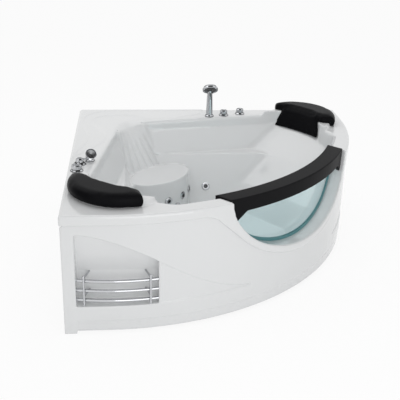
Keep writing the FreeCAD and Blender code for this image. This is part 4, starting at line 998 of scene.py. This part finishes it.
@dataclass
class Studio:
    """Floor, lamps, world and camera.

    Args:
        floor_size: half the floor's side
        floor_drop: how far the floor lies under the bath's feet
        floor_grey: the floor's own colour
        floor_roughness: its roughness
        floor_white: share of plain white in the floor's look
        daylight: the world's light on the bath
        camera_place: where the camera stands
        camera_heading: the way that it looks
        camera_roll: its turn about that
        focal_pixels: its focal length, in pixels of the frame
        frame_pixels: the frame's side
        sensor: the sensor's side, in millimetres
    """

    floor_size: float = 14.0
    floor_drop: float = 0.0005
    floor_grey: float = 0.96
    floor_roughness: float = 0.9
    floor_white: float = 0.9
    daylight: float = 0.64
    camera_place: Point = (-0.44568, -3.56694, 1.83831)
    camera_heading: Point = (0.08714, 0.91506, -0.39378)
    camera_roll: float = math.radians(1.44)
    focal_pixels: float = 762.15
    frame_pixels: float = 400.0
    sensor: float = 36.0

    @staticmethod
    def background_share(nodes: bpy.types.Nodes, links: bpy.types.NodeLinks) -> bpy.types.NodeSocket:
        """A mask of the rays that see the plain background: the camera's, and those of metal and glass.

        Args:
            nodes: nodes of the material or world
            links: its links

        Returns:
            A socket that is 1 on such a ray and 0 on the others.
        """
        path = nodes.new("ShaderNodeLightPath")
        first, both = nodes.new("ShaderNodeMath"), nodes.new("ShaderNodeMath")
        first.operation = both.operation = "MAXIMUM"
        links.new(path.outputs["Is Camera Ray"], first.inputs[0])
        links.new(path.outputs["Is Glossy Ray"], first.inputs[1])
        links.new(first.outputs[0], both.inputs[0])
        links.new(path.outputs["Is Transmission Ray"], both.inputs[1])
        return both.outputs[0]

    def floor(self) -> None:
        """A pale floor that shows white to the camera and keeps a soft shadow."""
        shape = bmesh.new()
        bmesh.ops.create_grid(shape, x_segments=4, y_segments=4, size=self.floor_size)
        piece = mesh_object("floor", shape)
        piece.location.z = -self.floor_drop
        material = bpy.data.materials.new("studio_floor")
        material.use_nodes = True
        nodes, links = material.node_tree.nodes, material.node_tree.links
        shader = nodes["Principled BSDF"]
        shader.inputs["Base Color"].default_value = (*(self.floor_grey,) * 3, 1)
        shader.inputs["Roughness"].default_value = self.floor_roughness
        shader.inputs["Specular IOR Level"].default_value = 0.0
        glow = nodes.new("ShaderNodeEmission")
        glow.inputs["Strength"].default_value = 1.0
        mix = nodes.new("ShaderNodeMixShader")
        share = nodes.new("ShaderNodeMath")
        share.operation = "MULTIPLY"
        share.inputs[1].default_value = self.floor_white
        links.new(self.background_share(nodes, links), share.inputs[0])
        links.new(share.outputs[0], mix.inputs[0])
        links.new(shader.outputs[0], mix.inputs[1])
        links.new(glow.outputs[0], mix.inputs[2])
        links.new(mix.outputs[0], nodes["Material Output"].inputs["Surface"])
        piece.data.materials.append(material)

    @staticmethod
    def card(card: Card) -> None:
        """Hang one card.

        Args:
            card: the card
        """
        shape = bmesh.new()
        bmesh.ops.create_grid(shape, x_segments=1, y_segments=1, size=0.5)
        bmesh.ops.scale(shape, vec=(card.width, card.height, 1), verts=shape.verts)
        way = Vector(card.aim) - Vector(card.place)
        turn = way.to_track_quat("Z", "Y").to_matrix().to_4x4()
        place = Matrix.Translation(card.place) @ turn
        bmesh.ops.transform(shape, matrix=place, verts=shape.verts)
        piece = mesh_object(card.name, shape)
        material = bpy.data.materials.new(card.name)
        material.use_nodes = True
        shader = material.node_tree.nodes["Principled BSDF"]
        shader.inputs["Base Color"].default_value = (0, 0, 0, 1)
        shader.inputs["Specular IOR Level"].default_value = 0.0
        shader.inputs["Emission Color"].default_value = (1, 1, 1, 1)
        shader.inputs["Emission Strength"].default_value = card.grey
        piece.data.materials.append(material)
        piece.visible_camera = piece.visible_diffuse = False
        piece.visible_transmission = piece.visible_shadow = False

    def world(self) -> None:
        """White to the eye, and an even grey light on the bath."""
        world = bpy.data.worlds.new("studio_world")
        bpy.context.scene.world = world
        world.use_nodes = True
        nodes, links = world.node_tree.nodes, world.node_tree.links
        back = nodes["Background"]
        back.inputs["Color"].default_value = (1, 1, 1, 1)
        level = nodes.new("ShaderNodeMath")
        level.operation = "MULTIPLY_ADD"
        level.inputs[1].default_value = 1.0 - self.daylight
        level.inputs[2].default_value = self.daylight
        links.new(self.background_share(nodes, links), level.inputs[0])
        links.new(level.outputs[0], back.inputs["Strength"])

    @staticmethod
    def lamp(lamp: Lamp) -> None:
        """Hang one lamp.

        Args:
            lamp: the lamp
        """
        data = bpy.data.lights.new(lamp.name, "AREA")
        data.size = lamp.size
        data.energy = lamp.power
        light = bpy.data.objects.new(lamp.name, data)
        light.location = lamp.place
        way = Vector(lamp.aim) - Vector(lamp.place)
        light.rotation_euler = way.to_track_quat("-Z", "Y").to_euler()
        bpy.context.scene.collection.objects.link(light)

    def camera(self) -> None:
        """The photograph's view."""
        ahead = Vector(self.camera_heading).normalized()
        right = ahead.cross(Vector((0, 0, 1))).normalized()
        up = right.cross(ahead)
        turn = self.camera_roll
        rolled_right = right * math.cos(turn) + up * math.sin(turn)
        rolled_up = up * math.cos(turn) - right * math.sin(turn)
        data = bpy.data.cameras.new("camera")
        data.sensor_width = self.sensor
        data.lens = self.focal_pixels / self.frame_pixels * self.sensor
        camera = bpy.data.objects.new("camera", data)
        columns = Matrix((rolled_right, rolled_up, -ahead)).transposed()
        camera.matrix_world = Matrix.Translation(self.camera_place) @ columns.to_4x4()
        bpy.context.scene.collection.objects.link(camera)
        bpy.context.scene.camera = camera

    def build(self) -> None:
        """Set up everything that isn't the bath."""
        bpy.context.scene.view_settings.view_transform = "Standard"
        self.floor()
        self.world()
        for lamp in LAMPS:
            self.lamp(lamp)
        for card in CARDS:
            self.card(card)
        self.camera()
        log.info("studio ready")


def main() -> None:
    """Build the bath piece by piece."""
    logging.basicConfig(level=logging.INFO, format="%(name)s: %(message)s")
    palette = Palette()
    Studio().build()
    CarriedNodes(palette).dress()
    TubShell(palette).build()
    FrontApron(palette).build()
    Handrail(palette).build()
    Pillows(palette).build()
    DeckTrim(palette).build()
    SprayFace(palette).build()


if __name__ == "__main__":
    main()
